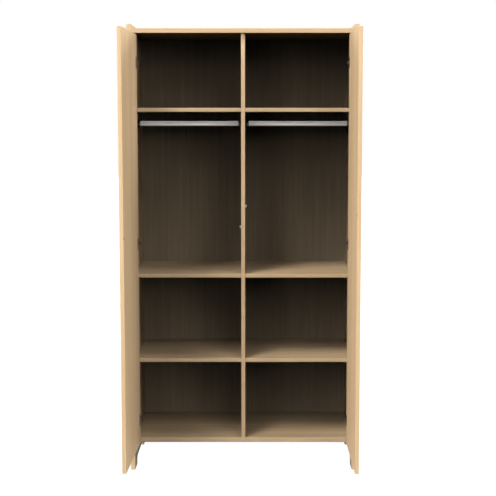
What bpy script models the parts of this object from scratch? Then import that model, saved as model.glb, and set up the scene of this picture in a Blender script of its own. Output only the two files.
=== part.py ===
"""Two-door wardrobe with inset doors on concealed hinges, built as separate parts.

Metres, +Z up. The front is at -Y and the origin is under the middle of the whole, doors open.
Inside the carcass, Y is counted back from the front edges of the side panels.
"""
import math

import bmesh
import bpy
from mathutils import Matrix, Vector

# carcass
HEIGHT = 2.250
WIDTH = 1.150
DEPTH = 0.580
SIDE_T = 0.022
TOP_T = 0.022
BOTTOM_T = 0.025
BOARD_T = 0.019
BACK_T = 0.005
TOP_DROP = 0.021
BOTTOM_UNDER = 0.138
BACK_INSET = 0.011
GROOVE = 0.006
EASE = 0.0007

# foot cut-out of the sides
FOOT_DEPTH = 0.110
ARCH_RISE = 0.040
ARCH_RADIUS = 0.030

# shelves: clear room over the hat shelves, and the upper faces of the others
HAT_ROOM = 0.367
MIDDLE_SHELF_TOP = 1.008
LOWER_SHELF_TOP = 0.575
SHELF_PLAY = 0.0006

# hanging rails
RAIL_R = 0.0125
RAIL_WALL = 0.0015
RAIL_DROP = 0.0595
RAIL_Y = 0.280
SOCKET_WALL = 0.0024
SOCKET_BASE = 0.003
SOCKET_LONG = 0.012
SOCKET_SCREW_AT = 0.006

# doors
DOOR_T = 0.019
SIDE_GAP = 0.0025
MEET_GAP = 0.003
HEAD_GAP = 0.007
SILL_LIP = 0.002
LEFT_OPEN = math.radians(91.5)
RIGHT_OPEN = math.radians(90.0)
SQUARE = math.radians(90.0)

# hinge pivot of a door, from the side's inner face and from the front
PIVOT_IN = 0.0133
PIVOT_BACK = 0.0050
SWING_CLEAR = 0.0023

# hinges
HINGE_FROM_FOOT = 0.122
HINGE_FROM_HEAD = 0.138
CUP_R = 0.0175
CUP_DEEP = 0.0125
CUP_EDGE = 0.004
CUP_WALL = 0.0013
CUP_RIM_T = 0.0007
CUP_RIM_LONG = 0.060
CUP_RIM_WIDE = 0.024
CUP_SCREW_PITCH = 0.046
CUP_SCREW_SET = 0.006
INNER_CUP_PIN = (-0.0100, 0.0040)
OUTER_CUP_PIN = (-0.0075, 0.0044)
INNER_REACH = 3.8
OUTER_REACH = 3.3
HINGE_PIN_R = 0.0015
PIN_PROUD = 0.0006
LINK_HALF_T = 0.0011
LINK_CLEAR = 0.0014
LINK_EYE_R = 0.0026
LINK_END_R = 0.0018
OUTER_LINK_HALF = 0.0028
INNER_LINK_IN = 0.0036
INNER_LINK_OUT = 0.0055
ARM_HALF = 0.0077
ARM_SHEET = 0.0014
ARM_TIP_R = 0.0028
ARM_LOW = 0.0055
ARM_HIGH = 0.0165
ARM_KNEE = 0.046
ARM_END = 0.096
PLATE_T = 0.0020
PLATE_FRONT = 0.052
PLATE_BACK = 0.093
PLATE_SCREW_BACK = 0.066
PLATE_SCREW_PITCH = 0.032
PLATE_WING = 0.022
PLATE_TAPER = 0.0012
ARM_SCREW_BACK = 0.080

# holes for screws
SCREW_R = 0.0017

# touch latches on the divider
LEFT_LATCH_Z = 1.243
RIGHT_LATCH_Z = 1.349
LATCH_WIDE = 0.008
LATCH_TALL = 0.012
LATCH_LONG = 0.050
LATCH_SET = 0.001
LATCH_BORE = 0.030
LATCH_SCREW_NEAR = 0.036
LATCH_SCREW_FAR = 0.045
PLUNGER_R = 0.0020
PLUNGER_HEAD_R = 0.0032
PLUNGER_HEAD_T = 0.0020
PLUNGER_IN = 0.022
STRIKE_R = 0.0060
STRIKE_T = 0.0010
STRIKE_STEM_R = 0.0020
STRIKE_STEM = 0.008

# play between pieces that touch
FIT = 0.0003

# facets of a full turn
FINE = 24
PLAIN = 16
ROUND = 10
SMALL = 8

# sizes that follow
INNER_HALF = WIDTH / 2 - SIDE_T
HALF_BOARD = BOARD_T / 2
TOP_Z = HEIGHT - TOP_DROP
TOP_UNDER = TOP_Z - TOP_T
BOTTOM_Z = BOTTOM_UNDER + BOTTOM_T
BACK_FACE = DEPTH - BACK_INSET - BACK_T
SWEEP = math.hypot(PIVOT_IN - SIDE_GAP, DOOR_T - PIVOT_BACK)
SET_BACK = PIVOT_BACK + SWEEP + SWING_CLEAR
DOOR_W = INNER_HALF - SIDE_GAP - MEET_GAP / 2
DOOR_LOW = BOTTOM_UNDER + SILL_LIP
DOOR_HIGH = TOP_UNDER - HEAD_GAP
CUP_X = SIDE_GAP + CUP_EDGE + CUP_R
HAT_SHELF_TOP = TOP_UNDER - HAT_ROOM
RAIL_Z = HAT_SHELF_TOP - BOARD_T - RAIL_DROP
HINGE_LOW = DOOR_LOW + HINGE_FROM_FOOT
HINGE_HIGH = DOOR_HIGH - HINGE_FROM_HEAD
HINGE_HEIGHTS = {
    "bottom": HINGE_LOW,
    "middle": (HINGE_LOW + HINGE_HIGH) / 2,
    "top": HINGE_HIGH,
}
SHELF_TOPS = {
    "hat": HAT_SHELF_TOP,
    "middle": MIDDLE_SHELF_TOP,
    "lower": LOWER_SHELF_TOP,
}
SIDES = {"left": -1, "right": 1}
OPEN = {"left": LEFT_OPEN, "right": RIGHT_OPEN}
LATCH_Z = {"left": LEFT_LATCH_Z, "right": RIGHT_LATCH_Z}


def door_reach(angle):
    """How far an open door stands in front of the side panels."""
    near = []
    for thick in (0.0, DOOR_T):
        run = SIDE_GAP + DOOR_W - PIVOT_IN
        rise = thick - PIVOT_BACK
        near.append(run * math.sin(angle) - rise * math.cos(angle) - PIVOT_BACK)
    return max(near)


FRONT_REACH = max(door_reach(LEFT_OPEN), door_reach(RIGHT_OPEN))
FRONT_Y = (FRONT_REACH - DEPTH) / 2


def clear_scene():
    for item in list(bpy.data.objects):
        bpy.data.objects.remove(item, do_unlink=True)
    for group in list(bpy.data.collections):
        bpy.data.collections.remove(group)


def new_collection(name):
    group = bpy.data.collections.new(name)
    bpy.context.scene.collection.children.link(group)
    return group


def new_material(name, colour, roughness, metallic):
    made = bpy.data.materials.new(name)
    made.use_nodes = True
    shader = made.node_tree.nodes["Principled BSDF"]
    shader.inputs["Base Color"].default_value = (*colour, 1.0)
    shader.inputs["Roughness"].default_value = roughness
    shader.inputs["Metallic"].default_value = metallic
    made.diffuse_color = (*colour, 1.0)
    return made


clear_scene()
PARTS = new_collection("two_door_wardrobe")
CUTTERS = new_collection("cutters")
MAPLE = new_material("maple_board", (0.70, 0.48, 0.27), 0.45, 0.0)
DOOR_MAPLE = new_material("maple_door", (0.71, 0.49, 0.28), 0.42, 0.0)
BACK_SHEET = new_material("maple_back_sheet", (0.62, 0.45, 0.27), 0.55, 0.0)
RAIL_METAL = new_material("satin_steel_rail", (0.62, 0.61, 0.58), 0.32, 1.0)
SOCKET_BLACK = new_material("black_socket", (0.03, 0.03, 0.03), 0.45, 0.0)
HINGE_STEEL = new_material("nickel_hinge", (0.66, 0.65, 0.62), 0.30, 1.0)
LINK_STEEL = new_material("link_steel", (0.58, 0.58, 0.56), 0.34, 1.0)
LATCH_CREAM = new_material("cream_latch", (0.80, 0.76, 0.68), 0.45, 0.0)
PLUNGER_GREY = new_material("grey_plunger", (0.45, 0.45, 0.44), 0.40, 0.0)


def add_object(name, mesh, material, parent, place=(0.0, 0.0, 0.0), smooth=False):
    """A finished part: linked, coloured and hung on its parent."""
    made = bpy.data.objects.new(name, mesh)
    PARTS.objects.link(made)
    mesh.materials.append(material)
    made.parent = parent
    made.location = place
    if smooth:
        mesh.shade_smooth()
        mesh.set_sharp_from_angle(angle=math.radians(35))
    return made


def add_cutter(name, mesh, parent):
    made = bpy.data.objects.new(name, mesh)
    CUTTERS.objects.link(made)
    made.parent = parent
    made.hide_render = True
    made.display_type = "WIRE"
    return made


def cut(target, cutter, operation="DIFFERENCE", solver="EXACT"):
    step = target.modifiers.new(cutter.name, "BOOLEAN")
    step.operation = operation
    step.solver = solver
    step.object = cutter


def ease(target, width=EASE):
    """Break the sharp edges of a board."""
    step = target.modifiers.new("eased_edges", "BEVEL")
    step.width = width
    step.segments = 1
    step.limit_method = "ANGLE"
    step.angle_limit = math.radians(40)


def add_axis(name, parent, place, turn=0.0):
    """An empty that carries what turns or stands together."""
    made = bpy.data.objects.new(name, None)
    PARTS.objects.link(made)
    made.parent = parent
    made.location = place
    made.rotation_euler = (0.0, 0.0, turn)
    made.empty_display_size = 0.05
    return made


def finish_bmesh(name, form):
    bmesh.ops.recalc_face_normals(form, faces=form.faces)
    mesh = bpy.data.meshes.new(name)
    form.to_mesh(mesh)
    form.free()
    return mesh


def box_mesh(name, low, high):
    """A block between two corners."""
    low = Vector(low)
    high = Vector(high)
    form = bmesh.new()
    bmesh.ops.create_cube(form, size=1.0)
    bmesh.ops.scale(form, vec=high - low, verts=form.verts)
    bmesh.ops.translate(form, vec=(low + high) / 2, verts=form.verts)
    return finish_bmesh(name, form)


def turn_to(direction):
    """Rotation that lays the Z axis along a direction."""
    return Vector((0, 0, 1)).rotation_difference(Vector(direction)).to_matrix().to_4x4()


def put_rod(form, radius, start, direction, length, facets):
    """A round rod from a start point, added to a mesh being built."""
    middle = Vector(start) + Vector(direction) * (length / 2)
    frame = Matrix.Translation(middle) @ turn_to(direction)
    bmesh.ops.create_cone(
        form,
        cap_ends=True,
        segments=facets,
        radius1=radius,
        radius2=radius,
        depth=length,
        matrix=frame,
    )


def put_turned(form, profile, start, direction, facets):
    """A turned piece: a profile of radius and height, spun about a direction."""
    own = bmesh.new()
    points = [own.verts.new((radius, 0.0, height)) for radius, height in profile]
    closed = profile[0][0] > 0 and profile[-1][0] > 0
    pairs = list(zip(points[:-1], points[1:]))
    if closed:
        pairs.append((points[-1], points[0]))
    edges = [own.edges.new(pair) for pair in pairs]
    bmesh.ops.spin(
        own,
        geom=points + edges,
        cent=(0, 0, 0),
        axis=(0, 0, 1),
        dvec=(0, 0, 0),
        angle=2 * math.pi,
        steps=facets,
        use_merge=True,
    )
    bmesh.ops.remove_doubles(own, verts=own.verts, dist=1e-6)
    own.transform(Matrix.Translation(Vector(start)) @ turn_to(direction))
    bmesh.ops.recalc_face_normals(own, faces=own.faces)
    mesh = bpy.data.meshes.new("turned")
    own.to_mesh(mesh)
    own.free()
    form.from_mesh(mesh)
    bpy.data.meshes.remove(mesh)


def outline_mesh(name, points, low, high, frame=None):
    """A flat outline filled and drawn out along Z from low to high, then laid in a frame."""
    curve = bpy.data.curves.new(name, "CURVE")
    curve.dimensions = "2D"
    curve.fill_mode = "BOTH"
    curve.extrude = (high - low) / 2
    line = curve.splines.new("POLY")
    line.points.add(len(points) - 1)
    for spot, (first, second) in zip(line.points, points):
        spot.co = (first, second, 0.0, 1.0)
    line.use_cyclic_u = True
    holder = bpy.data.objects.new(name, curve)
    bpy.context.scene.collection.objects.link(holder)
    graph = bpy.context.evaluated_depsgraph_get()
    mesh = bpy.data.meshes.new_from_object(holder.evaluated_get(graph))
    bpy.data.objects.remove(holder, do_unlink=True)
    bpy.data.curves.remove(curve)
    form = bmesh.new()
    form.from_mesh(mesh)
    bpy.data.meshes.remove(mesh)
    bmesh.ops.remove_doubles(form, verts=form.verts, dist=1e-6)
    form.transform(Matrix.Translation((0.0, 0.0, (low + high) / 2)))
    if frame is not None:
        form.transform(frame)
    return finish_bmesh(name, form)


# outline planes: (Y, Z) drawn out along X, and (X, Z) drawn out along Y
ALONG_X = Matrix(((0, 0, 1, 0), (1, 0, 0, 0), (0, 1, 0, 0), (0, 0, 0, 1)))
ALONG_Y = Matrix(((1, 0, 0, 0), (0, 0, 1, 0), (0, 1, 0, 0), (0, 0, 0, 1)))


def arc(centre, radius, start, end, steps):
    """Points on an arc, by angles in degrees."""
    points = []
    for step in range(steps + 1):
        angle = math.radians(start + (end - start) * step / steps)
        points.append((centre[0] + radius * math.cos(angle), centre[1] + radius * math.sin(angle)))
    return points


def turned_about(point, centre, angle):
    run = point[0] - centre[0]
    rise = point[1] - centre[1]
    return (
        centre[0] + run * math.cos(angle) - rise * math.sin(angle),
        centre[1] + run * math.sin(angle) + rise * math.cos(angle),
    )


# hinge pivots, in hinge places: X in from the side's inner face, Y back from the front
PIVOT = (PIVOT_IN, PIVOT_BACK)


def cup_pin(offset):
    """Place of a cup-side pin with the door shut."""
    return (CUP_X + offset[0], DOOR_T - offset[1])


def arm_pin(shut, reach):
    """Fixed pin that carries a link from its shut place to its place at a square door."""
    opened = turned_about(shut, PIVOT, -SQUARE)
    middle = ((shut[0] + opened[0]) / 2, (shut[1] + opened[1]) / 2)
    return (
        PIVOT[0] + reach * (middle[0] - PIVOT[0]),
        PIVOT[1] + reach * (middle[1] - PIVOT[1]),
    )


def link_ratio(shut, fixed):
    """Turn of a link for each turn of the door."""
    opened = turned_about(shut, PIVOT, -SQUARE)
    before = math.atan2(shut[1] - fixed[1], shut[0] - fixed[0])
    after = math.atan2(opened[1] - fixed[1], opened[0] - fixed[0])
    return ((after - before + math.pi) % (2 * math.pi) - math.pi) / SQUARE


INNER_SHUT = cup_pin(INNER_CUP_PIN)
OUTER_SHUT = cup_pin(OUTER_CUP_PIN)
INNER_FIXED = arm_pin(INNER_SHUT, INNER_REACH)
OUTER_FIXED = arm_pin(OUTER_SHUT, OUTER_REACH)
INNER_OPEN = turned_about(INNER_SHUT, PIVOT, -SQUARE)
OUTER_OPEN = turned_about(OUTER_SHUT, PIVOT, -SQUARE)
INNER_RATIO = link_ratio(INNER_SHUT, INNER_FIXED)
OUTER_RATIO = link_ratio(OUTER_SHUT, OUTER_FIXED)

CARCASS = add_axis("carcass_front", None, (0.0, FRONT_Y, 0.0))


def shelf_span(side):
    """Side face and divider face that a half's shelves run between."""
    outer = side * INNER_HALF
    inner = side * HALF_BOARD
    return outer, inner


def side_outline():
    """Side panel with its foot cut-out, as (Y, Z) from the front edge."""
    rear = DEPTH - FOOT_DEPTH
    low = ARCH_RISE - ARCH_RADIUS
    front_arc = arc((FOOT_DEPTH + ARCH_RADIUS, low), ARCH_RADIUS, 180, 90, 5)
    rear_arc = arc((rear - ARCH_RADIUS, low), ARCH_RADIUS, 90, 0, 5)
    points = [(0.0, 0.0), (FOOT_DEPTH, 0.0)]
    points += front_arc + rear_arc
    points += [(rear, 0.0), (DEPTH, 0.0), (DEPTH, HEIGHT), (0.0, HEIGHT)]
    return points


def build_sides():
    for name, side in SIDES.items():
        inner = side * INNER_HALF
        outer = side * WIDTH / 2
        mesh = outline_mesh("side_panel", side_outline(), min(inner, outer), max(inner, outer), ALONG_X)
        panel = add_object("side_panel_" + name, mesh, MAPLE, CARCASS)
        ease(panel)
        cut(panel, BACK_ROOM)


def build_top_and_bottom():
    across = INNER_HALF - FIT
    mesh = box_mesh("top_panel", (-across, 0.0, TOP_UNDER), (across, DEPTH, TOP_Z))
    top = add_object("top_panel", mesh, MAPLE, CARCASS)
    mesh = box_mesh("bottom_panel", (-across, SET_BACK, BOTTOM_UNDER), (across, DEPTH, BOTTOM_Z))
    bottom = add_object("bottom_panel", mesh, MAPLE, CARCASS)
    for panel in (top, bottom):
        ease(panel)
        cut(panel, BACK_ROOM)


def build_divider():
    low = (-HALF_BOARD, SET_BACK, BOTTOM_Z + FIT)
    high = (HALF_BOARD, BACK_FACE - FIT, TOP_UNDER - FIT)
    divider = add_object("centre_divider", box_mesh("centre_divider", low, high), MAPLE, CARCASS)
    ease(divider)


def build_back():
    across = INNER_HALF + GROOVE - FIT
    low = (-across, BACK_FACE, BOTTOM_Z - GROOVE + FIT)
    high = (across, BACK_FACE + BACK_T, TOP_UNDER + GROOVE - FIT)
    add_object("back_panel", box_mesh("back_panel", low, high), BACK_SHEET, CARCASS)


def back_room():
    """Groove round the back panel, cut in the boards that hold it."""
    across = INNER_HALF + GROOVE
    low = (-across, BACK_FACE - FIT, BOTTOM_Z - GROOVE)
    high = (across, BACK_FACE + BACK_T + FIT, TOP_UNDER + GROOVE)
    return add_cutter("back_groove", box_mesh("back_groove", low, high), CARCASS)


BACK_ROOM = back_room()


def build_shelves():
    for name, side in SIDES.items():
        outer, inner = shelf_span(side)
        left = min(outer, inner) + SHELF_PLAY
        right = max(outer, inner) - SHELF_PLAY
        for level, top in SHELF_TOPS.items():
            low = (left, SET_BACK, top - BOARD_T)
            high = (right, BACK_FACE - FIT, top)
            title = level + "_shelf_" + name
            ease(add_object(title, box_mesh(title, low, high), MAPLE, CARCASS))


def build_rails():
    for name, side in SIDES.items():
        outer, inner = shelf_span(side)
        seat = 2 * FIT + SOCKET_BASE
        left = min(outer, inner) + seat
        right = max(outer, inner) - seat
        profile = [
            (RAIL_R, 0.0),
            (RAIL_R, right - left),
            (RAIL_R - RAIL_WALL, right - left),
            (RAIL_R - RAIL_WALL, 0.0),
        ]
        form = bmesh.new()
        put_turned(form, profile, (left, RAIL_Y, RAIL_Z), (1, 0, 0), FINE)
        title = "hanging_rail_" + name
        add_object(title, finish_bmesh(title, form), RAIL_METAL, CARCASS, smooth=True)
        for place, face, inward in (("outer", outer, -side), ("inner", inner, side)):
            build_socket("rail_socket_" + name + "_" + place, face, inward)


def build_socket(title, face, inward):
    """A round cup that holds one end of a rail, with two screw holes in its base."""
    bore = RAIL_R + FIT
    rim = bore + SOCKET_WALL
    profile = [
        (0.0, 0.0),
        (rim, 0.0),
        (rim, SOCKET_LONG - 0.001),
        (rim - 0.001, SOCKET_LONG),
        (bore, SOCKET_LONG),
        (bore, SOCKET_BASE),
        (0.0, SOCKET_BASE),
    ]
    form = bmesh.new()
    put_turned(form, profile, (face + inward * FIT, RAIL_Y, RAIL_Z), (inward, 0, 0), FINE)
    socket = add_object(title, finish_bmesh(title, form), SOCKET_BLACK, CARCASS, smooth=True)
    holes = bmesh.new()
    for shift in (-SOCKET_SCREW_AT, SOCKET_SCREW_AT):
        start = (face + inward * (SOCKET_BASE + 0.002), RAIL_Y, RAIL_Z + shift)
        put_rod(holes, SCREW_R + FIT, start, (-inward, 0, 0), SOCKET_BASE + 0.003, SMALL)
    cut(socket, add_cutter(title + "_holes", finish_bmesh("holes", holes), CARCASS))


def hinge_point(side, spot):
    """A hinge place of one side as carcass X and Y."""
    return (side * (INNER_HALF - spot[0]), spot[1])


def arm_outline():
    """Cranked arm seen from above: base, crank and rounded tip round the two pins."""
    tip = ARM_TIP_R
    first = OUTER_FIXED
    second = INNER_FIXED
    lean = math.degrees(math.atan2(second[1] - first[1], second[0] - first[0]))
    points = [(ARM_LOW, ARM_END), (ARM_LOW, ARM_KNEE)]
    points.append((second[0] - tip * 1.15, second[1] + tip * 0.6))
    points += arc(first, tip, lean + 90, lean + 270, 6)
    points.append((second[0] + tip * 1.15, second[1] + tip * 0.6))
    points += [(ARM_HIGH, ARM_KNEE + 0.006), (ARM_HIGH, ARM_END)]
    return points


def arm_room_outline():
    """Space between the arm's cheeks, open towards the side panel and at the tip."""
    tip = ARM_TIP_R
    near = (INNER_FIXED[0] + tip * 1.15, INNER_FIXED[1] + tip * 0.6)
    far = (ARM_HIGH, ARM_KNEE + 0.006)
    run = Vector((far[0] - near[0], far[1] - near[1])).normalized()
    inside = Vector((-run.y, run.x)) * ARM_SHEET
    if inside.y > 0:
        inside = -inside
    start = Vector(near) + run * 0.009 + inside
    knee = Vector(far) + inside
    knee.x = ARM_HIGH - ARM_SHEET
    return [
        (ARM_LOW - 0.004, ARM_END + 0.004),
        (ARM_LOW - 0.004, ARM_KNEE - 0.006),
        (INNER_FIXED[0] - 0.02, 0.0),
        (INNER_FIXED[0] + 0.02, 0.0),
        (INNER_FIXED[0] + 0.02, start.y),
        (start.x, start.y),
        (knee.x, knee.y),
        (ARM_HIGH - ARM_SHEET, ARM_END + 0.004),
    ]


def placed(side, points):
    return [hinge_point(side, spot) for spot in points]


def build_arms_and_plates():
    for name, side in SIDES.items():
        for level, height in HINGE_HEIGHTS.items():
            title = "hinge_arm_" + name + "_" + level
            mesh = outline_mesh(title, placed(side, arm_outline()), height - ARM_HALF, height + ARM_HALF)
            arm = add_object(title, mesh, HINGE_STEEL, CARCASS)
            gap = ARM_HALF - ARM_SHEET
            mesh = outline_mesh("room", placed(side, arm_room_outline()), height - gap, height + gap)
            cut(arm, add_cutter(title + "_room", mesh, CARCASS))
            pins = bmesh.new()
            for spot in (INNER_FIXED, OUTER_FIXED):
                start = (*hinge_point(side, spot), height - ARM_HALF - PIN_PROUD)
                put_rod(pins, HINGE_PIN_R, start, (0, 0, 1), 2 * (ARM_HALF + PIN_PROUD), ROUND)
            cut(arm, add_cutter(title + "_pins", finish_bmesh("pins", pins), CARCASS), "UNION")
            hole = bmesh.new()
            start = (side * (INNER_HALF - ARM_HIGH - 0.001), ARM_SCREW_BACK, height)
            put_rod(hole, SCREW_R + FIT, start, (side, 0, 0), 0.004, SMALL)
            cut(arm, add_cutter(title + "_hole", finish_bmesh("hole", hole), CARCASS))
            build_plate("hinge_plate_" + name + "_" + level, side, height)


def build_plate(title, side, height):
    """Mounting plate: a winged base on the side panel and a rib that fills the arm's channel."""
    back = side * (INNER_HALF - FIT)
    face = side * (INNER_HALF - FIT - PLATE_T)
    half = ARM_HALF + 0.001
    wing = PLATE_WING
    near = PLATE_SCREW_BACK - 0.006
    far = PLATE_SCREW_BACK + 0.006
    points = [
        (PLATE_FRONT, height - half + PLATE_TAPER),
        (near, height - half),
        (near, height - wing + 0.003),
        (near + 0.003, height - wing),
        (far - 0.003, height - wing),
        (far, height - wing + 0.003),
        (far, height - half),
        (PLATE_BACK, height - half + PLATE_TAPER),
        (PLATE_BACK, height + half - PLATE_TAPER),
        (far, height + half),
        (far, height + wing - 0.003),
        (far - 0.003, height + wing),
        (near + 0.003, height + wing),
        (near, height + wing - 0.003),
        (near, height + half),
        (PLATE_FRONT, height + half - PLATE_TAPER),
    ]
    mesh = outline_mesh(title, points, min(back, face), max(back, face), ALONG_X)
    plate = add_object(title, mesh, HINGE_STEEL, CARCASS)
    rib_half = ARM_HALF - ARM_SHEET - FIT
    rib_top = side * (INNER_HALF - ARM_HIGH + ARM_SHEET + FIT)
    deep = side * (INNER_HALF - FIT - PLATE_T / 2)
    low = (min(rib_top, deep), PLATE_FRONT + 0.002, height - rib_half)
    high = (max(rib_top, deep), PLATE_BACK - 0.002, height + rib_half)
    cut(plate, add_cutter(title + "_rib", box_mesh("rib", low, high), CARCASS), "UNION")
    holes = bmesh.new()
    for shift in (-PLATE_SCREW_PITCH / 2, PLATE_SCREW_PITCH / 2):
        start = (side * (INNER_HALF - PLATE_T - 0.002), PLATE_SCREW_BACK, height + shift)
        put_rod(holes, SCREW_R + FIT, start, (side, 0, 0), PLATE_T + 0.004, SMALL)
    start = (side * (INNER_HALF - ARM_HIGH - 0.001), ARM_SCREW_BACK, height)
    put_rod(holes, SCREW_R + FIT, start, (side, 0, 0), ARM_HIGH + 0.002, SMALL)
    cut(plate, add_cutter(title + "_holes", finish_bmesh("holes", holes), CARCASS))


def strip(path, half, start_r, end_r):
    """A bent flat link drawn round a path, with a rounded eye at each end."""
    left = []
    right = []
    for index, spot in enumerate(path):
        here = Vector(spot)
        before = Vector(path[max(index - 1, 0)])
        after = Vector(path[min(index + 1, len(path) - 1)])
        run = (after - before).normalized()
        side = Vector((-run.y, run.x))
        if 0 < index < len(path) - 1:
            left.append(tuple(here + side * half))
            right.append(tuple(here - side * half))
    first = Vector(path[1]) - Vector(path[0])
    last = Vector(path[-1]) - Vector(path[-2])
    lean = math.degrees(math.atan2(first.y, first.x))
    end = math.degrees(math.atan2(last.y, last.x))
    points = arc(path[0], start_r, lean + 50, lean + 310, 8)
    points += right
    points += arc(path[-1], end_r, end - 130, end + 130, 6)
    points += list(reversed(left))
    return points


def inner_path():
    """Path of the inner link at a square door, bent round the door's edge and the outer pin."""
    face = PIVOT_IN + DOOR_T - PIVOT_BACK
    clear = face + FIT + CUP_RIM_T + LINK_HALF_T + LINK_CLEAR
    knee = (clear, OUTER_FIXED[1] - 0.0010)
    foot = (clear + 0.0001, INNER_OPEN[1] + 0.0037)
    neck = (clear + 0.0008, (INNER_FIXED[1] + knee[1]) / 2)
    return [INNER_FIXED, neck, knee, foot, INNER_OPEN]


def outer_path():
    bend = (OUTER_FIXED[0] - 0.0025, OUTER_FIXED[1] - 0.0062)
    return [OUTER_FIXED, bend, OUTER_OPEN]


def build_links():
    """Both links of each hinge, each hung on its fixed pin."""
    for name, side in SIDES.items():
        over = OPEN[name] - SQUARE
        for level, height in HINGE_HEIGHTS.items():
            turn = -side * INNER_RATIO * over
            title = "hinge_inner_link_" + name + "_" + level
            link = build_link(title, side, INNER_FIXED, inner_path(), INNER_LINK_OUT, height, turn)
            low = (-0.03, -0.04, -INNER_LINK_IN)
            high = (0.03, -LINK_EYE_R * 0.8, INNER_LINK_IN)
            cutter = add_cutter(title + "_fork", box_mesh("fork", low, high), CARCASS)
            follow(cutter, link)
            cut(link, cutter)
            turn = -side * OUTER_RATIO * over
            title = "hinge_outer_link_" + name + "_" + level
            build_link(title, side, OUTER_FIXED, outer_path(), OUTER_LINK_HALF, height, turn)


def follow(cutter, link):
    cutter.location = link.location
    cutter.rotation_euler = link.rotation_euler


def build_link(title, side, fixed, path, half, height, turn):
    """A bent link with an eye round its fixed pin, drawn as it lies at a square door."""
    points = []
    for spot in strip(path, LINK_HALF_T, LINK_EYE_R, LINK_END_R):
        points.append((-side * (spot[0] - fixed[0]), spot[1] - fixed[1]))
    mesh = outline_mesh(title, points, -half, half)
    link = add_object(title, mesh, LINK_STEEL, CARCASS, (*hinge_point(side, fixed), height))
    link.rotation_euler = (0.0, 0.0, turn)
    eye = bmesh.new()
    room = (HINGE_PIN_R + FIT) / math.cos(math.pi / ROUND)
    put_rod(eye, room, (0.0, 0.0, -ARM_HALF), (0, 0, 1), 2 * ARM_HALF, ROUND)
    cutter = add_cutter(title + "_eye", finish_bmesh("eye", eye), CARCASS)
    follow(cutter, link)
    cut(link, cutter)
    return link


def build_doors():
    for name, side in SIDES.items():
        place = (*hinge_point(side, PIVOT), 0.0)
        axis = add_axis("door_axis_" + name, CARCASS, place, side * OPEN[name])
        build_door(name, side, axis)


def door_spot(side, across, back):
    """A place on a shut door, from its pivot."""
    return (-side * (across - PIVOT_IN), back - PIVOT_BACK)


def latch_line():
    """Latch line on a door, from the side's inner face."""
    return INNER_HALF - HALF_BOARD - FIT - LATCH_WIDE / 2


def build_door(name, side, axis):
    first = door_spot(side, SIDE_GAP, 0.0)
    second = door_spot(side, SIDE_GAP + DOOR_W, DOOR_T)
    low = (min(first[0], second[0]), first[1], DOOR_LOW)
    high = (max(first[0], second[0]), second[1], DOOR_HIGH)
    door = add_object("door_" + name, box_mesh("door_" + name, low, high), DOOR_MAPLE, axis)
    ease(door)
    bores = bmesh.new()
    holes = bmesh.new()
    out = (0, 1, 0)
    face = DOOR_T
    for level, height in HINGE_HEIGHTS.items():
        start = (*door_spot(side, CUP_X, face + 0.001), height)
        put_rod(bores, CUP_R + FIT, start, (0, -1, 0), CUP_DEEP + FIT + 0.001, FINE)
        build_cup("hinge_cup_" + name + "_" + level, side, height, axis)
    seat = (*door_spot(side, latch_line(), face + 0.001), LATCH_Z[name])
    put_rod(holes, STRIKE_STEM_R + FIT, seat, (0, -1, 0), STRIKE_STEM + FIT + 0.001, SMALL)
    cut(door, add_cutter("cup_bores_" + name, finish_bmesh("bores", bores), axis))
    cut(door, add_cutter("door_holes_" + name, finish_bmesh("holes", holes), axis))
    strike = bmesh.new()
    profile = [
        (0.0, STRIKE_T),
        (STRIKE_R - 0.0004, STRIKE_T),
        (STRIKE_R, STRIKE_T - 0.0004),
        (STRIKE_R, 0.0),
        (STRIKE_STEM_R, 0.0),
        (STRIKE_STEM_R, -STRIKE_STEM),
        (0.0, -STRIKE_STEM),
    ]
    seat = (*door_spot(side, latch_line(), face + FIT), LATCH_Z[name])
    put_turned(strike, profile, seat, out, PLAIN)
    title = "latch_strike_" + name
    add_object(title, finish_bmesh(title, strike), HINGE_STEEL, axis, smooth=True)


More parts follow.
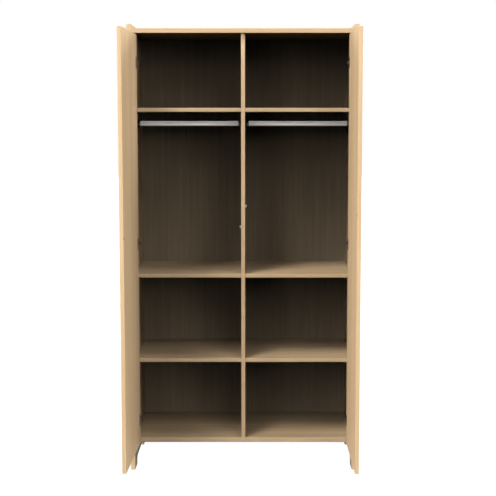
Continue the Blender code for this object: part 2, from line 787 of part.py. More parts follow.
def build_cup(title, side, height, axis):
    """Hinge cup: a turned well with a winged rim that two screws hold to the door.

    Two stubs in the well stand at the ends of the inner link's pin, on both sides of the link.
    """
    back = DOOR_T + FIT
    profile = [
        (0.0, CUP_RIM_T * 0.6),
        (CUP_R, CUP_RIM_T * 0.6),
        (CUP_R, -CUP_DEEP + 0.001),
        (CUP_R - 0.001, -CUP_DEEP),
        (0.0, -CUP_DEEP),
    ]
    form = bmesh.new()
    put_turned(form, profile, (*door_spot(side, CUP_X, back), height), (0, 1, 0), FINE)
    cup = add_object(title, finish_bmesh(title, form), HINGE_STEEL, axis, smooth=True)
    middle = CUP_X + CUP_SCREW_SET * 0.6
    half = CUP_RIM_WIDE / 2
    long = CUP_RIM_LONG / 2
    nose = half * 0.55
    points = []
    for across, along in (
        (-half, long * 0.35),
        (-nose, long),
        (nose, long),
        (half, long * 0.55),
        (half, -long * 0.55),
        (nose, -long),
        (-nose, -long),
        (-half, -long * 0.35),
    ):
        spot = door_spot(side, middle + across, 0.0)
        points.append((spot[0], height + along))
    low = back - PIVOT_BACK
    rim_mesh = outline_mesh("rim", points, low, low + CUP_RIM_T, ALONG_Y)
    cut(cup, add_cutter(title + "_rim", rim_mesh, axis), "UNION")
    rooms = bmesh.new()
    start = (*door_spot(side, CUP_X, back + CUP_RIM_T + 0.002), height)
    deep = CUP_DEEP - CUP_WALL + CUP_RIM_T + 0.002
    put_rod(rooms, CUP_R - CUP_WALL, start, (0, -1, 0), deep, FINE)
    for shift in (-CUP_SCREW_PITCH / 2, CUP_SCREW_PITCH / 2):
        start = (*door_spot(side, CUP_X + CUP_SCREW_SET, back + 0.002), height + shift)
        put_rod(rooms, SCREW_R + FIT, start, (0, -1, 0), 0.004, SMALL)
    cut(cup, add_cutter(title + "_room", finish_bmesh("rooms", rooms), axis))
    stubs = bmesh.new()
    near = INNER_LINK_OUT + FIT
    outmost = abs(INNER_CUP_PIN[0]) + HINGE_PIN_R
    far = math.sqrt((CUP_R - CUP_WALL * 0.4) ** 2 - outmost ** 2)
    for way in (-1, 1):
        start = (*door_spot(side, *INNER_SHUT), height + way * near)
        put_rod(stubs, HINGE_PIN_R, start, (0, 0, way), far - near, ROUND)
    pins = add_cutter(title + "_stubs", finish_bmesh("stubs", stubs), axis)
    cut(cup, pins, "UNION", "MANIFOLD")


def build_latches():
    for name, side in SIDES.items():
        near = side * (HALF_BOARD + FIT)
        far = side * (HALF_BOARD + FIT + LATCH_WIDE)
        front = SET_BACK + LATCH_SET
        height = LATCH_Z[name]
        low = (min(near, far), front, height - LATCH_TALL / 2)
        high = (max(near, far), front + LATCH_LONG, height + LATCH_TALL / 2)
        title = "latch_housing_" + name
        housing = add_object(title, box_mesh(title, low, high), LATCH_CREAM, CARCASS)
        ease(housing, 0.001)
        middle = (near + far) / 2
        holes = bmesh.new()
        start = (middle, front - 0.001, height)
        put_rod(holes, PLUNGER_R + FIT, start, (0, 1, 0), LATCH_BORE + 0.001, PLAIN)
        for back in (LATCH_SCREW_NEAR, LATCH_SCREW_FAR):
            start = (near - side * 0.001, front + back, height)
            put_rod(holes, SCREW_R + FIT, start, (side, 0, 0), LATCH_WIDE + 0.002, SMALL)
        cut(housing, add_cutter(title + "_holes", finish_bmesh("holes", holes), CARCASS))
        tip = DOOR_T + 2 * FIT + STRIKE_T
        reach = front + PLUNGER_IN - tip
        profile = [
            (0.0, 0.0),
            (PLUNGER_HEAD_R - 0.0005, 0.0),
            (PLUNGER_HEAD_R, 0.0005),
            (PLUNGER_HEAD_R, PLUNGER_HEAD_T),
            (PLUNGER_R, PLUNGER_HEAD_T),
            (PLUNGER_R, reach),
            (0.0, reach),
        ]
        form = bmesh.new()
        put_turned(form, profile, (0.0, 0.0, 0.0), (0, 1, 0), PLAIN)
        title = "latch_plunger_" + name
        mesh = finish_bmesh(title, form)
        add_object(title, mesh, PLUNGER_GREY, CARCASS, (middle, tip, height), smooth=True)


build_sides()
build_top_and_bottom()
build_divider()
build_back()
build_shelves()
build_rails()
build_arms_and_plates()
build_links()
build_doors()
build_latches()
bpy.context.view_layer.update()
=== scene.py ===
"""Looks of a two-door maple wardrobe: boards, edge bands, hinges, rails, latches, light and camera."""
import math

import bmesh
import bpy
from mathutils import Matrix, Vector


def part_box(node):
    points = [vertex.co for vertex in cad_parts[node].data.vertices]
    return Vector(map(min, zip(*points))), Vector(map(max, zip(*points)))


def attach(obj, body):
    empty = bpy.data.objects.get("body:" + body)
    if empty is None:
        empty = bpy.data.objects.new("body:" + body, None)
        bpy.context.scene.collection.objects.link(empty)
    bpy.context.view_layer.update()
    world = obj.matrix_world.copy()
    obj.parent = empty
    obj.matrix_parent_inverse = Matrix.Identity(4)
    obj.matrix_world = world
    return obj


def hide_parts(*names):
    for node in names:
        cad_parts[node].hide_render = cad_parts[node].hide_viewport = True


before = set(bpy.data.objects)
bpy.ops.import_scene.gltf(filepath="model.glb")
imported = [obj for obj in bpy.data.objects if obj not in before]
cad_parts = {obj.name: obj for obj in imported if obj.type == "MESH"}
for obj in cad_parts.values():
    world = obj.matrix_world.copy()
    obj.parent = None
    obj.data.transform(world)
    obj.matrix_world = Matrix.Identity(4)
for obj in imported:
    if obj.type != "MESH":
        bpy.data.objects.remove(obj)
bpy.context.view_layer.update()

HALVES = ("left", "right")
HAND = {"left": -1, "right": 1}
LEVELS = ("bottom", "middle", "top")
SHELVES = ("hat", "middle", "lower")

# the carcass, read from its own boards
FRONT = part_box("side_panel_left")[0].y
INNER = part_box("side_panel_right")[0].x
BOTTOM_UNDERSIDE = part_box("bottom_panel")[0].z

# doors: thickness, gap to the side, width and the line they turn on
DOOR_THICK = 0.019
DOOR_GAP = 0.0025
DOOR_WIDE = 0.549
PIVOT_IN = 0.0133
PIVOT_BACK = 0.005
OPEN = {"left": math.radians(91.5), "right": math.radians(90.0)}

# edge bands: how far they stand out, are let in, lap over the faces and stop short of the ends
BAND_PROUD = 0.0003
BAND_SUNK = 0.0009
BAND_LAP = 0.00006
BAND_SHORT = 0.0005
LYING_BAND_SHORT = 0.0003
BEHIND_FRONT_BAND = 0.001
BAND_ROUNDING = 0.0006

# rails, and sockets whose moulded collar reaches further along the rail than the plain socket
RAIL_WALL = 0.0015
RAIL_HOLLOW = 0.04
RAIL_ROUNDING = 0.0003
SOCKET_COLLAR = 0.0055
SOCKET_WALL = 0.0019
SOCKET_WELL = 0.0086
SOCKET_ROUNDING = 0.0006

# hinge, counted in from the side's inner face, back from the front and up from its middle
CUP_IN = 0.024
CUP_RADIUS = 0.0175
CUP_WALL = 0.0013
CUP_FLOOR = 0.0068
CUP_FOOT_ROUNDING = 0.001
CUP_ROUNDING = 0.00025
CUP_INTO_RIM = 0.0004
RIM_BACK = 0.0193
RIM_FACE = 0.0200
RIM_MIDDLE = 0.0276
RIM_HALF_WIDE = 0.012
RIM_HALF_TALL = 0.030
RIM_CORNER = 0.0095
BEYOND_RIM = 0.03
CUP_PIN = (0.0140, 0.0150)
CUP_PIN_RADIUS = 0.0015
CUP_PIN_REACH = (0.0058, 0.0120)
CUP_SCREW_IN = 0.030
CUP_SCREW_UP = 0.023
PLATE_FACE = 0.0023
PLATE_SCREW_BACK = 0.066
PLATE_SCREW_UP = 0.016
ARM_FACE = 0.0165
ARM_SCREW_BACK = 0.080
ARM_ROUNDING = 0.0003
LINK_ROUNDING = 0.0002

# screw heads: radius and height
HINGE_HEAD = (0.0033, 0.0019)
ARM_HEAD = (0.0026, 0.0016)
LATCH_HEAD = (0.0024, 0.0012)
HEAD_SUNK = 0.0005

# shape of a head, as shares of its radius and height: its edge, its two steps in and up, its cross
HEAD_EDGE = 0.6
HEAD_STEPS = ((0.25, 0.3), (0.3, 0.1))
CROSS_REACH = 0.62
CROSS_HALF_SLOT = 0.13
CROSS_FLOOR = 0.45

# touch latches, counted back from the housing's front
LATCH_ROUNDING = 0.0012
LATCH_BORE = 0.0023
LATCH_BORE_END = 0.030
LATCH_GROOVE = (0.0285, 0.0295)
LATCH_GROOVE_DEEP = 0.0006
LATCH_SCREWS_BACK = (0.036, 0.045)
PLUNGER_HEAD = 0.002
PLUNGER_STEM = 0.0020
PLUNGER_ROUNDING = 0.0005
CUTTER_OVER = 0.001
STRIKE_RADIUS = 0.006
STRIKE_THICK = 0.001
STRIKE_OFF = 0.0003
STRIKE_STEM_RADIUS = 0.002
STRIKE_STEM_LONG = 0.008
STRIKE_ROUNDING = 0.0003

# shelf pins: flange against the board, then the pin that the shelf lies on
PIN_FLANGE = 0.0040
PIN_FLANGE_SUNK = 0.0003
PIN_FLANGE_PROUD = 0.0012
PIN_THINNER = 0.0015
PIN_LONG = 0.0080
PIN_ROUNDING = 0.0004
PIN_FROM_EDGE = 0.060
PIN_BELOW_SHELF = 0.0041
PIN_BESIDE_SHELF = 0.0006

# cover caps over the connecting bolts
CAP_RADIUS = 0.0080
CAP_SUNK = 0.002
CAP_PROUD = 0.0012
CAP_ROUNDING = 0.0006
CAP_FROM_SIDE = 0.034
CAP_FROM_EDGE = 0.080

# cosine above which a face or an edge counts as lying along a direction
ALONG = 0.9


# handling of pieces

def lay_down_all():
    if bpy.context.mode != "OBJECT":
        bpy.ops.object.mode_set(mode="OBJECT")
    bpy.ops.object.select_all(action="DESELECT")


def take(piece):
    lay_down_all()
    piece.select_set(True)
    bpy.context.view_layer.objects.active = piece


def settle(piece):
    """Puts a piece's place, turn and size into its mesh."""
    take(piece)
    bpy.ops.object.transform_apply(location=True, rotation=True, scale=True)
    return piece


def block(name, low, high):
    lay_down_all()
    low = Vector(low)
    high = Vector(high)
    bpy.ops.mesh.primitive_cube_add(size=1.0, location=(low + high) / 2)
    piece = bpy.context.object
    piece.name = name
    piece.scale = high - low
    return settle(piece)


def rod(name, radius, start, end, sides=48):
    lay_down_all()
    start = Vector(start)
    end = Vector(end)
    run = end - start
    bpy.ops.mesh.primitive_cylinder_add(
        vertices=sides, radius=radius, depth=run.length, location=(start + end) / 2)
    piece = bpy.context.object
    piece.name = name
    piece.rotation_mode = "QUATERNION"
    piece.rotation_quaternion = Vector((0, 0, 1)).rotation_difference(run)
    return settle(piece)


def facing(way):
    """Tells the faces that look one way."""
    way = Vector(way)
    return lambda face: face.normal.dot(way) > ALONG


def pick_faces(piece, wanted):
    """Opens a piece for editing with only the wanted faces selected."""
    take(piece)
    bpy.ops.object.mode_set(mode="EDIT")
    bpy.ops.mesh.select_mode(type="FACE")
    bpy.ops.mesh.select_all(action="DESELECT")
    form = bmesh.from_edit_mesh(piece.data)
    for face in form.faces:
        face.select_set(wanted(face))
    bmesh.update_edit_mesh(piece.data)


def pick_edges(piece, wanted):
    """Opens a piece for editing with only the wanted edges selected."""
    take(piece)
    bpy.ops.object.mode_set(mode="EDIT")
    bpy.ops.mesh.select_mode(type="EDGE")
    bpy.ops.mesh.select_all(action="DESELECT")
    form = bmesh.from_edit_mesh(piece.data)
    for edge in form.edges:
        edge.select_set(wanted(edge))
    bmesh.update_edit_mesh(piece.data)


def push(way):
    bpy.ops.mesh.extrude_region_move(TRANSFORM_OT_translate={"value": tuple(way)})


def end_edit():
    bpy.ops.object.mode_set(mode="OBJECT")


def smooth(below_angle=35):
    bpy.ops.object.shade_smooth_by_angle(angle=math.radians(below_angle))


def round_off(piece, width, steps=2, from_angle=40):
    take(piece)
    bevel = piece.modifiers.new("rounding", "BEVEL")
    bevel.width = width
    bevel.segments = steps
    bevel.limit_method = "ANGLE"
    bevel.angle_limit = math.radians(from_angle)
    bpy.ops.object.modifier_apply(modifier=bevel.name)
    smooth()
    return piece


def join_with(piece, other, way):
    take(piece)
    step = piece.modifiers.new("joining", "BOOLEAN")
    step.operation = way
    step.solver = "EXACT"
    step.object = other
    bpy.ops.object.modifier_apply(modifier=step.name)
    bpy.data.objects.remove(other)
    return piece


def copy_to(pattern, name, place):
    """A copy of a pattern with a mesh of its own, at its place."""
    lay_down_all()
    piece = pattern.copy()
    piece.data = pattern.data.copy()
    bpy.context.scene.collection.objects.link(piece)
    piece.name = name
    piece.data.name = name
    piece.matrix_world = place
    settle(piece)
    if place.determinant() < 0:
        bpy.ops.object.mode_set(mode="EDIT")
        bpy.ops.mesh.select_all(action="SELECT")
        bpy.ops.mesh.normals_make_consistent(inside=False)
        end_edit()
    return piece


def put_away(pattern):
    bpy.data.objects.remove(pattern)


def gather(name, pieces):
    take(pieces[0])
    for piece in pieces:
        piece.select_set(True)
    if len(pieces) > 1:
        bpy.ops.object.join()
    whole = bpy.context.object
    whole.name = name
    whole.data.name = name
    return whole


def fit(piece, body, slot, finish, *nodes):
    """Gives a piece its finish and the body it moves with, and hides the plain solids it stands for."""
    piece.data.materials.clear()
    piece.data.materials.append(finish)
    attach(piece, body)
    if nodes:
        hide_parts(*nodes)
    return piece


def hinge_place(half, height):
    """From hinge measures to the carcass: in from the side, back from the front, up from the hinge."""
    place = Matrix.Translation((HAND[half] * INNER, FRONT, height))
    if half == "right":
        place = place @ Matrix.Diagonal((-1, 1, 1, 1))
    return place


def door_swing(half):
    """From the shut door to the door as it stands open."""
    post = Vector((HAND[half] * (INNER - PIVOT_IN), FRONT + PIVOT_BACK, 0))
    turn = Matrix.Rotation(HAND[half] * OPEN[half], 4, "Z")
    return Matrix.Translation(post) @ turn @ Matrix.Translation(-post)


def hinge_height(half, level):
    low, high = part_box("hinge_cup_" + half + "_" + level)
    return (low.z + high.z) / 2


# finishes

def put(tree, kind, spot, **values):
    node = tree.nodes.new(kind)
    node.location = spot
    for name, value in values.items():
        node.inputs[name].default_value = value
    return node


def wire(tree, source, out, target, into):
    tree.links.new(source.outputs[out], target.inputs[into])


def blend_node(tree, spot, way="MIX"):
    mix = put(tree, "ShaderNodeMix", spot)
    mix.data_type = "RGBA"
    mix.blend_type = way
    return mix


def sum_node(tree, spot, how, second=None):
    node = put(tree, "ShaderNodeMath", spot)
    node.operation = how
    if second is not None:
        node.inputs[1].default_value = second
    return node


def spread(tree, spot, low, high, to_low=0.0, to_high=1.0):
    node = put(tree, "ShaderNodeMapRange", spot)
    node.inputs["From Min"].default_value = low
    node.inputs["From Max"].default_value = high
    node.inputs["To Min"].default_value = to_low
    node.inputs["To Max"].default_value = to_high
    return node


def stretched_noise(tree, source, spot, stretch, detail, rough=0.55):
    place = put(tree, "ShaderNodeMapping", spot, Scale=stretch)
    noise = put(tree, "ShaderNodeTexNoise", (spot[0] + 200, spot[1]),
                Scale=1.0, Detail=detail, Roughness=rough)
    tree.links.new(source, place.inputs["Vector"])
    wire(tree, place, "Vector", noise, "Vector")
    return noise


def seen_ray(tree, spot):
    """Is 1 for what the camera sees straight, in metal or through glass, and 0 for light on its way."""
    across, up = spot
    path = put(tree, "ShaderNodeLightPath", (across - 300, up))
    straight = sum_node(tree, (across, up), "MAXIMUM")
    seen = sum_node(tree, (across + 200, up), "MAXIMUM")
    wire(tree, path, "Is Camera Ray", straight, 0)
    wire(tree, path, "Is Glossy Ray", straight, 1)
    wire(tree, straight, "Value", seen, 0)
    wire(tree, path, "Is Transmission Ray", seen, 1)
    return seen


def new_group(name, takes, gives):
    group = bpy.data.node_groups.new(name, "ShaderNodeTree")
    for title, kind in takes:
        group.interface.new_socket(name=title, in_out="INPUT", socket_type=kind)
    for title, kind in gives:
        group.interface.new_socket(name=title, in_out="OUTPUT", socket_type=kind)
    source = put(group, "NodeGroupInput", (-1100, 0))
    result = put(group, "NodeGroupOutput", (900, 0))
    return group, source, result


# maple print: repeats per metre across, across and along the grain, and the share each has in the tone
DRIFT = (5.0, 5.0, 0.45)
DRIFT_SHARE = 0.40
STREAK = (48.0, 48.0, 1.3)
STREAK_SHARE = 0.35
FIBRE = (420.0, 420.0, 4.0)
FIBRE_SHARE = 0.25
PORE = (1100.0, 1100.0, 32.0)
PORE_STRENGTH = 0.10
PORE_BROWN = (0.55, 0.42, 0.30, 1)

# the stretch of each noise that is used, and the roughness that the fibres run through
TONE_RANGE = (0.41, 0.59)
PORE_RANGE = (0.60, 0.74)
FIBRE_RANGE = (0.3, 0.7)
BOARD_ROUGH = (0.48, 0.60)


def build_maple_grain():
    """Printed maple: slow drift of tone, streaks, fibres and short pores, all along Z."""
    group, source, result = new_group(
        "maple_grain",
        [("Vector", "NodeSocketVector"), ("Pale", "NodeSocketColor"), ("Deep", "NodeSocketColor"),
         ("Figure", "NodeSocketFloat")],
        [("Color", "NodeSocketColor"), ("Roughness", "NodeSocketFloat"), ("Height", "NodeSocketFloat")])
    place = source.outputs["Vector"]
    drift = stretched_noise(group, place, (-900, 400), DRIFT, detail=3.0)
    streak = stretched_noise(group, place, (-900, 150), STREAK, detail=4.0)
    fibre = stretched_noise(group, place, (-900, -100), FIBRE, detail=3.0)
    pore = stretched_noise(group, place, (-900, -350), PORE, detail=1.0)
    only_drift = sum_node(group, (-450, 350), "MULTIPLY", DRIFT_SHARE)
    with_streak = sum_node(group, (-450, 150), "MULTIPLY_ADD", STREAK_SHARE)
    with_fibre = sum_node(group, (-250, 50), "MULTIPLY_ADD", FIBRE_SHARE)
    wire(group, drift, "Fac", only_drift, 0)
    wire(group, streak, "Fac", with_streak, 0)
    wire(group, only_drift, "Value", with_streak, 2)
    wire(group, fibre, "Fac", with_fibre, 0)
    wire(group, with_streak, "Value", with_fibre, 2)
    tone = spread(group, (-50, 150), *TONE_RANGE)
    wire(group, with_fibre, "Value", tone, "Value")
    strength = sum_node(group, (150, 150), "MULTIPLY")
    wire(group, tone, "Result", strength, 0)
    wire(group, source, "Figure", strength, 1)
    wood = blend_node(group, (350, 250))
    wire(group, strength, "Value", wood, "Factor")
    wire(group, source, "Pale", wood, "A")
    wire(group, source, "Deep", wood, "B")
    dash = spread(group, (-50, -250), *PORE_RANGE)
    wire(group, pore, "Fac", dash, "Value")
    faint = sum_node(group, (150, -250), "MULTIPLY", PORE_STRENGTH)
    wire(group, dash, "Result", faint, 0)
    dark = blend_node(group, (600, 200), "MULTIPLY")
    dark.inputs["B"].default_value = PORE_BROWN
    wire(group, faint, "Value", dark, "Factor")
    wire(group, wood, "Result", dark, "A")
    wire(group, dark, "Result", result, "Color")
    rough = spread(group, (350, -50), *FIBRE_RANGE, *BOARD_ROUGH)
    wire(group, fibre, "Fac", rough, "Value")
    wire(group, rough, "Result", result, "Roughness")
    height = sum_node(group, (350, -300), "SUBTRACT")
    wire(group, fibre, "Fac", height, 0)
    wire(group, dash, "Result", height, 1)
    wire(group, height, "Value", result, "Height")
    return group


DUST_PATCH = (9.0, 9.0, 9.0)
DUST_PATCH_RANGE = (0.35, 0.75)
DUST_FACES_UP = (0.85, 1.0)


def build_settled_dust():
    """Thin dust on what faces up, gathered in soft patches."""
    group, source, result = new_group(
        "settled_dust",
        [("Vector", "NodeSocketVector"), ("Amount", "NodeSocketFloat")],
        [("Mask", "NodeSocketFloat")])
    patch = stretched_noise(group, source.outputs["Vector"], (-800, 100), DUST_PATCH,
                            detail=5.0, rough=0.65)
    level = spread(group, (-350, 100), *DUST_PATCH_RANGE)
    wire(group, patch, "Fac", level, "Value")
    form = put(group, "ShaderNodeNewGeometry", (-800, -200))
    split = put(group, "ShaderNodeSeparateXYZ", (-600, -200))
    wire(group, form, "Normal", split, "Vector")
    up = spread(group, (-350, -200), *DUST_FACES_UP)
    wire(group, split, "Z", up, "Value")
    both = sum_node(group, (0, 0), "MULTIPLY")
    wire(group, level, "Result", both, 0)
    wire(group, up, "Result", both, 1)
    share = sum_node(group, (250, 0), "MULTIPLY")
    wire(group, both, "Value", share, 0)
    wire(group, source, "Amount", share, 1)
    wire(group, share, "Value", result, "Mask")
    return group


# painted shade below the bottom panel: how softly it starts, and how strongly it covers the face at the
# floor and right under the panel
PAINTED_SHADE_SOFT_START = 0.001
PAINTED_SHADE_AT_FLOOR = 0.56
PAINTED_SHADE_AT_TOP = 0.90


def build_painted_shade_under_bottom():
    """Painted shade on a board's inner face below the bottom panel, darkest right under the panel and
    lighter towards the floor.
    """
    group, source, result = new_group(
        "painted_shade_under_bottom",
        [("Vector", "NodeSocketVector"), ("Face", "NodeSocketFloat"), ("Within", "NodeSocketFloat"),
         ("Under", "NodeSocketFloat")],
        [("Mask", "NodeSocketFloat")])
    split = put(group, "ShaderNodeSeparateXYZ", (-800, 0))
    wire(group, source, "Vector", split, "Vector")
    inner = spread(group, (-450, 300), 0.0, 1.0)
    wire(group, split, "X", inner, "Value")
    wire(group, source, "Within", inner, "From Min")
    wire(group, source, "Face", inner, "From Max")
    start = sum_node(group, (-650, -150), "ADD", PAINTED_SHADE_SOFT_START)
    wire(group, source, "Under", start, 0)
    end = sum_node(group, (-650, -350), "SUBTRACT", PAINTED_SHADE_SOFT_START)
    wire(group, source, "Under", end, 0)
    below = spread(group, (-450, 0), 0.0, 1.0)
    wire(group, split, "Z", below, "Value")
    wire(group, start, "Value", below, "From Min")
    wire(group, end, "Value", below, "From Max")
    shade_depth = spread(group, (-450, -300), 0.0, 1.0, PAINTED_SHADE_AT_FLOOR, PAINTED_SHADE_AT_TOP)
    wire(group, split, "Z", shade_depth, "Value")
    wire(group, source, "Under", shade_depth, "From Max")
    spot = sum_node(group, (0, 100), "MULTIPLY")
    wire(group, inner, "Result", spot, 0)
    wire(group, below, "Result", spot, 1)
    share = sum_node(group, (250, 0), "MULTIPLY")
    wire(group, spot, "Value", share, 0)
    wire(group, shade_depth, "Result", share, 1)
    wire(group, share, "Value", result, "Mask")
    return group


RUB_PATCH = (30.0, 30.0, 30.0)
RUB_PATCH_RANGE = (0.35, 0.65)
RUB_TURN_RANGE = (0.97, 0.75)


def build_rubbed_arris():
    """Where an edge is rounded over, hands and cloths have rubbed it."""
    group, source, result = new_group(
        "rubbed_arris",
        [("Vector", "NodeSocketVector"), ("Radius", "NodeSocketFloat")],
        [("Mask", "NodeSocketFloat")])
    soft = put(group, "ShaderNodeBevel", (-800, 100))
    soft.samples = 4
    wire(group, source, "Radius", soft, "Radius")
    form = put(group, "ShaderNodeNewGeometry", (-800, -100))
    angle = put(group, "ShaderNodeVectorMath", (-550, 50))
    angle.operation = "DOT_PRODUCT"
    wire(group, soft, "Normal", angle, 0)
    wire(group, form, "Normal", angle, 1)
    edge = spread(group, (-300, 50), *RUB_TURN_RANGE)
    wire(group, angle, "Value", edge, "Value")
    patch = stretched_noise(group, source.outputs["Vector"], (-800, -350), RUB_PATCH,
                            detail=4.0, rough=0.6)
    level = spread(group, (-300, -300), *RUB_PATCH_RANGE)
    wire(group, patch, "Fac", level, "Value")
    both = sum_node(group, (100, 0), "MULTIPLY")
    wire(group, edge, "Result", both, 0)
    wire(group, level, "Result", both, 1)
    wire(group, both, "Value", result, "Mask")
    return group


SMEAR = (60.0, 60.0, 60.0)
SMEAR_RANGE = (0.3, 0.7)


def build_handled_sheen():
    """Uneven gloss of a finish that has been wiped and touched."""
    group, source, result = new_group(
        "handled_sheen",
        [("Vector", "NodeSocketVector"), ("Low", "NodeSocketFloat"), ("High", "NodeSocketFloat")],
        [("Roughness", "NodeSocketFloat")])
    smear = stretched_noise(group, source.outputs["Vector"], (-800, 0), SMEAR, detail=5.0, rough=0.6)
    level = spread(group, (-300, 0), *SMEAR_RANGE)
    wire(group, smear, "Fac", level, "Value")
    wire(group, source, "Low", level, "To Min")
    wire(group, source, "High", level, "To Max")
    wire(group, level, "Result", result, "Roughness")
    return group


MAPLE_GRAIN = build_maple_grain()
SETTLED_DUST = build_settled_dust()
PAINTED_SHADE_UNDER_BOTTOM = build_painted_shade_under_bottom()
RUBBED_ARRIS = build_rubbed_arris()
HANDLED_SHEEN = build_handled_sheen()


def start_finish(name):
    """A new material with its shader and the piece's own coordinates."""
    finish = bpy.data.materials.new(name)
    finish.use_nodes = True
    tree = finish.node_tree
    tree.nodes.clear()
    out = put(tree, "ShaderNodeOutputMaterial", (900, 0))
    shader = put(tree, "ShaderNodeBsdfPrincipled", (600, 0))
    wire(tree, shader, "BSDF", out, "Surface")
    where = put(tree, "ShaderNodeTexCoord", (-1200, 0))
    return finish, tree, shader, where.outputs["Object"]


def use_group(tree, group, spot, place, **values):
    """Puts a shared effect into a material, on the coordinates it is given."""
    node = put(tree, "ShaderNodeGroup", spot)
    node.node_tree = group
    for name, value in values.items():
        node.inputs[name].default_value = value
    tree.links.new(place, node.inputs["Vector"])
    return node


def lay_over(tree, spot, under, mask, colour):
    """Lays a colour over what a mask covers of the finish under it; gives the new colour's output."""
    over = blend_node(tree, spot)
    over.inputs["B"].default_value = colour
    wire(tree, *mask, over, "Factor")
    wire(tree, *under, over, "A")
    return over, "Result"


def add_bump(tree, source, out, shader, strength, depth):
    bump = put(tree, "ShaderNodeBump", (350, -350), Strength=strength, Distance=depth)
    wire(tree, source, out, bump, "Height")
    wire(tree, bump, "Normal", shader, "Normal")


GRAIN_TURN = {
    "up": (0.0, 0.0, 0.0),
    "across": (0.0, math.radians(90), 0.0),
    "back": (math.radians(90), 0.0, 0.0),
}
DUST_GREY = (0.62, 0.60, 0.56, 1)
RUBBED_MAPLE = (0.80, 0.60, 0.38, 1)
# dark brown painted as shade on a side's inner face below the bottom panel, and how far into the board that
# painted shade reaches
PAINTED_SHADE_BROWN = (0.022, 0.016, 0.010, 1)
PAINTED_SHADE_INTO_FACE = (0.0005, 0.002)
BOARD_GLOSS = 0.03


def maple(name, grain, shift, tones, figure=0.8, dust=0.0, rub=0.0, painted_shade_half=None):
    """Maple-faced board or band with its grain one way and its own cut of the print."""
    finish, tree, shader, own = start_finish(name)
    cut = put(tree, "ShaderNodeMapping", (-950, 0), Location=shift, Rotation=GRAIN_TURN[grain])
    tree.links.new(own, cut.inputs["Vector"])
    pale, deep = tones
    wood = use_group(tree, MAPLE_GRAIN, (-600, 0), cut.outputs["Vector"],
                     Pale=(*pale, 1), Deep=(*deep, 1), Figure=figure)
    colour = (wood, "Color")
    rough = (wood, "Roughness")
    if dust:
        film = use_group(tree, SETTLED_DUST, (-300, -250), own, Amount=dust)
        colour = lay_over(tree, (0, 200), colour, (film, "Mask"), DUST_GREY)
        dull = sum_node(tree, (0, -100), "ADD")
        wire(tree, *rough, dull, 0)
        wire(tree, film, "Mask", dull, 1)
        rough = (dull, "Value")
    if rub:
        worn = use_group(tree, RUBBED_ARRIS, (-300, 400), own, Radius=rub)
        colour = lay_over(tree, (200, 350), colour, (worn, "Mask"), RUBBED_MAPLE)
    # painted shade: darkens the side's inner face below the bottom panel
    if painted_shade_half:
        hand = HAND[painted_shade_half]
        face, within = PAINTED_SHADE_INTO_FACE
        painted_shade = use_group(tree, PAINTED_SHADE_UNDER_BOTTOM, (-300, -500), own, Face=hand * (INNER + face),
                          Within=hand * (INNER + within), Under=BOTTOM_UNDERSIDE)
        colour = lay_over(tree, (350, 200), colour, (painted_shade, "Mask"), PAINTED_SHADE_BROWN)
    shader.inputs["Specular IOR Level"].default_value = BOARD_GLOSS
    wire(tree, *colour, shader, "Base Color")
    wire(tree, *rough, shader, "Roughness")
    add_bump(tree, wood, "Height", shader, strength=0.12, depth=0.0003)
    return finish


# the palest and the deepest tone of each print
BOARD_TONES = ((0.752, 0.532, 0.311), (0.592, 0.402, 0.224))
# the back's print is painted shade: darker and greyer than the boards' print
BACK_PAINTED_SHADE_TONES = ((0.400, 0.300, 0.194), (0.302, 0.226, 0.147))
BAND_TONES = ((0.788, 0.559, 0.331), (0.640, 0.440, 0.247))
# painted light: lighter copies of the band print for the front bands of the shelves, the bottom panel and
# the divider
SHELF_LIP_PAINTED_LIGHT_TONES = ((0.905, 0.654, 0.391), (0.775, 0.545, 0.309))
DIVIDER_LIP_PAINTED_LIGHT_TONES = ((0.950, 0.668, 0.400), (0.870, 0.600, 0.350))

HARDBOARD_DARK = (0.205, 0.120, 0.060, 1)
HARDBOARD_LIGHT = (0.345, 0.220, 0.120, 1)
HARDBOARD_STAIN = (0.62, 0.60, 0.58, 1)
HARDBOARD_FELT = (260.0, 260.0, 260.0)
STAIN_CLOUD = (5.0, 5.0, 2.5)
STAIN_CLOUD_RANGE = (0.35, 0.65)
STAIN_MOST = 0.22
PRINT_THICK = 0.0008


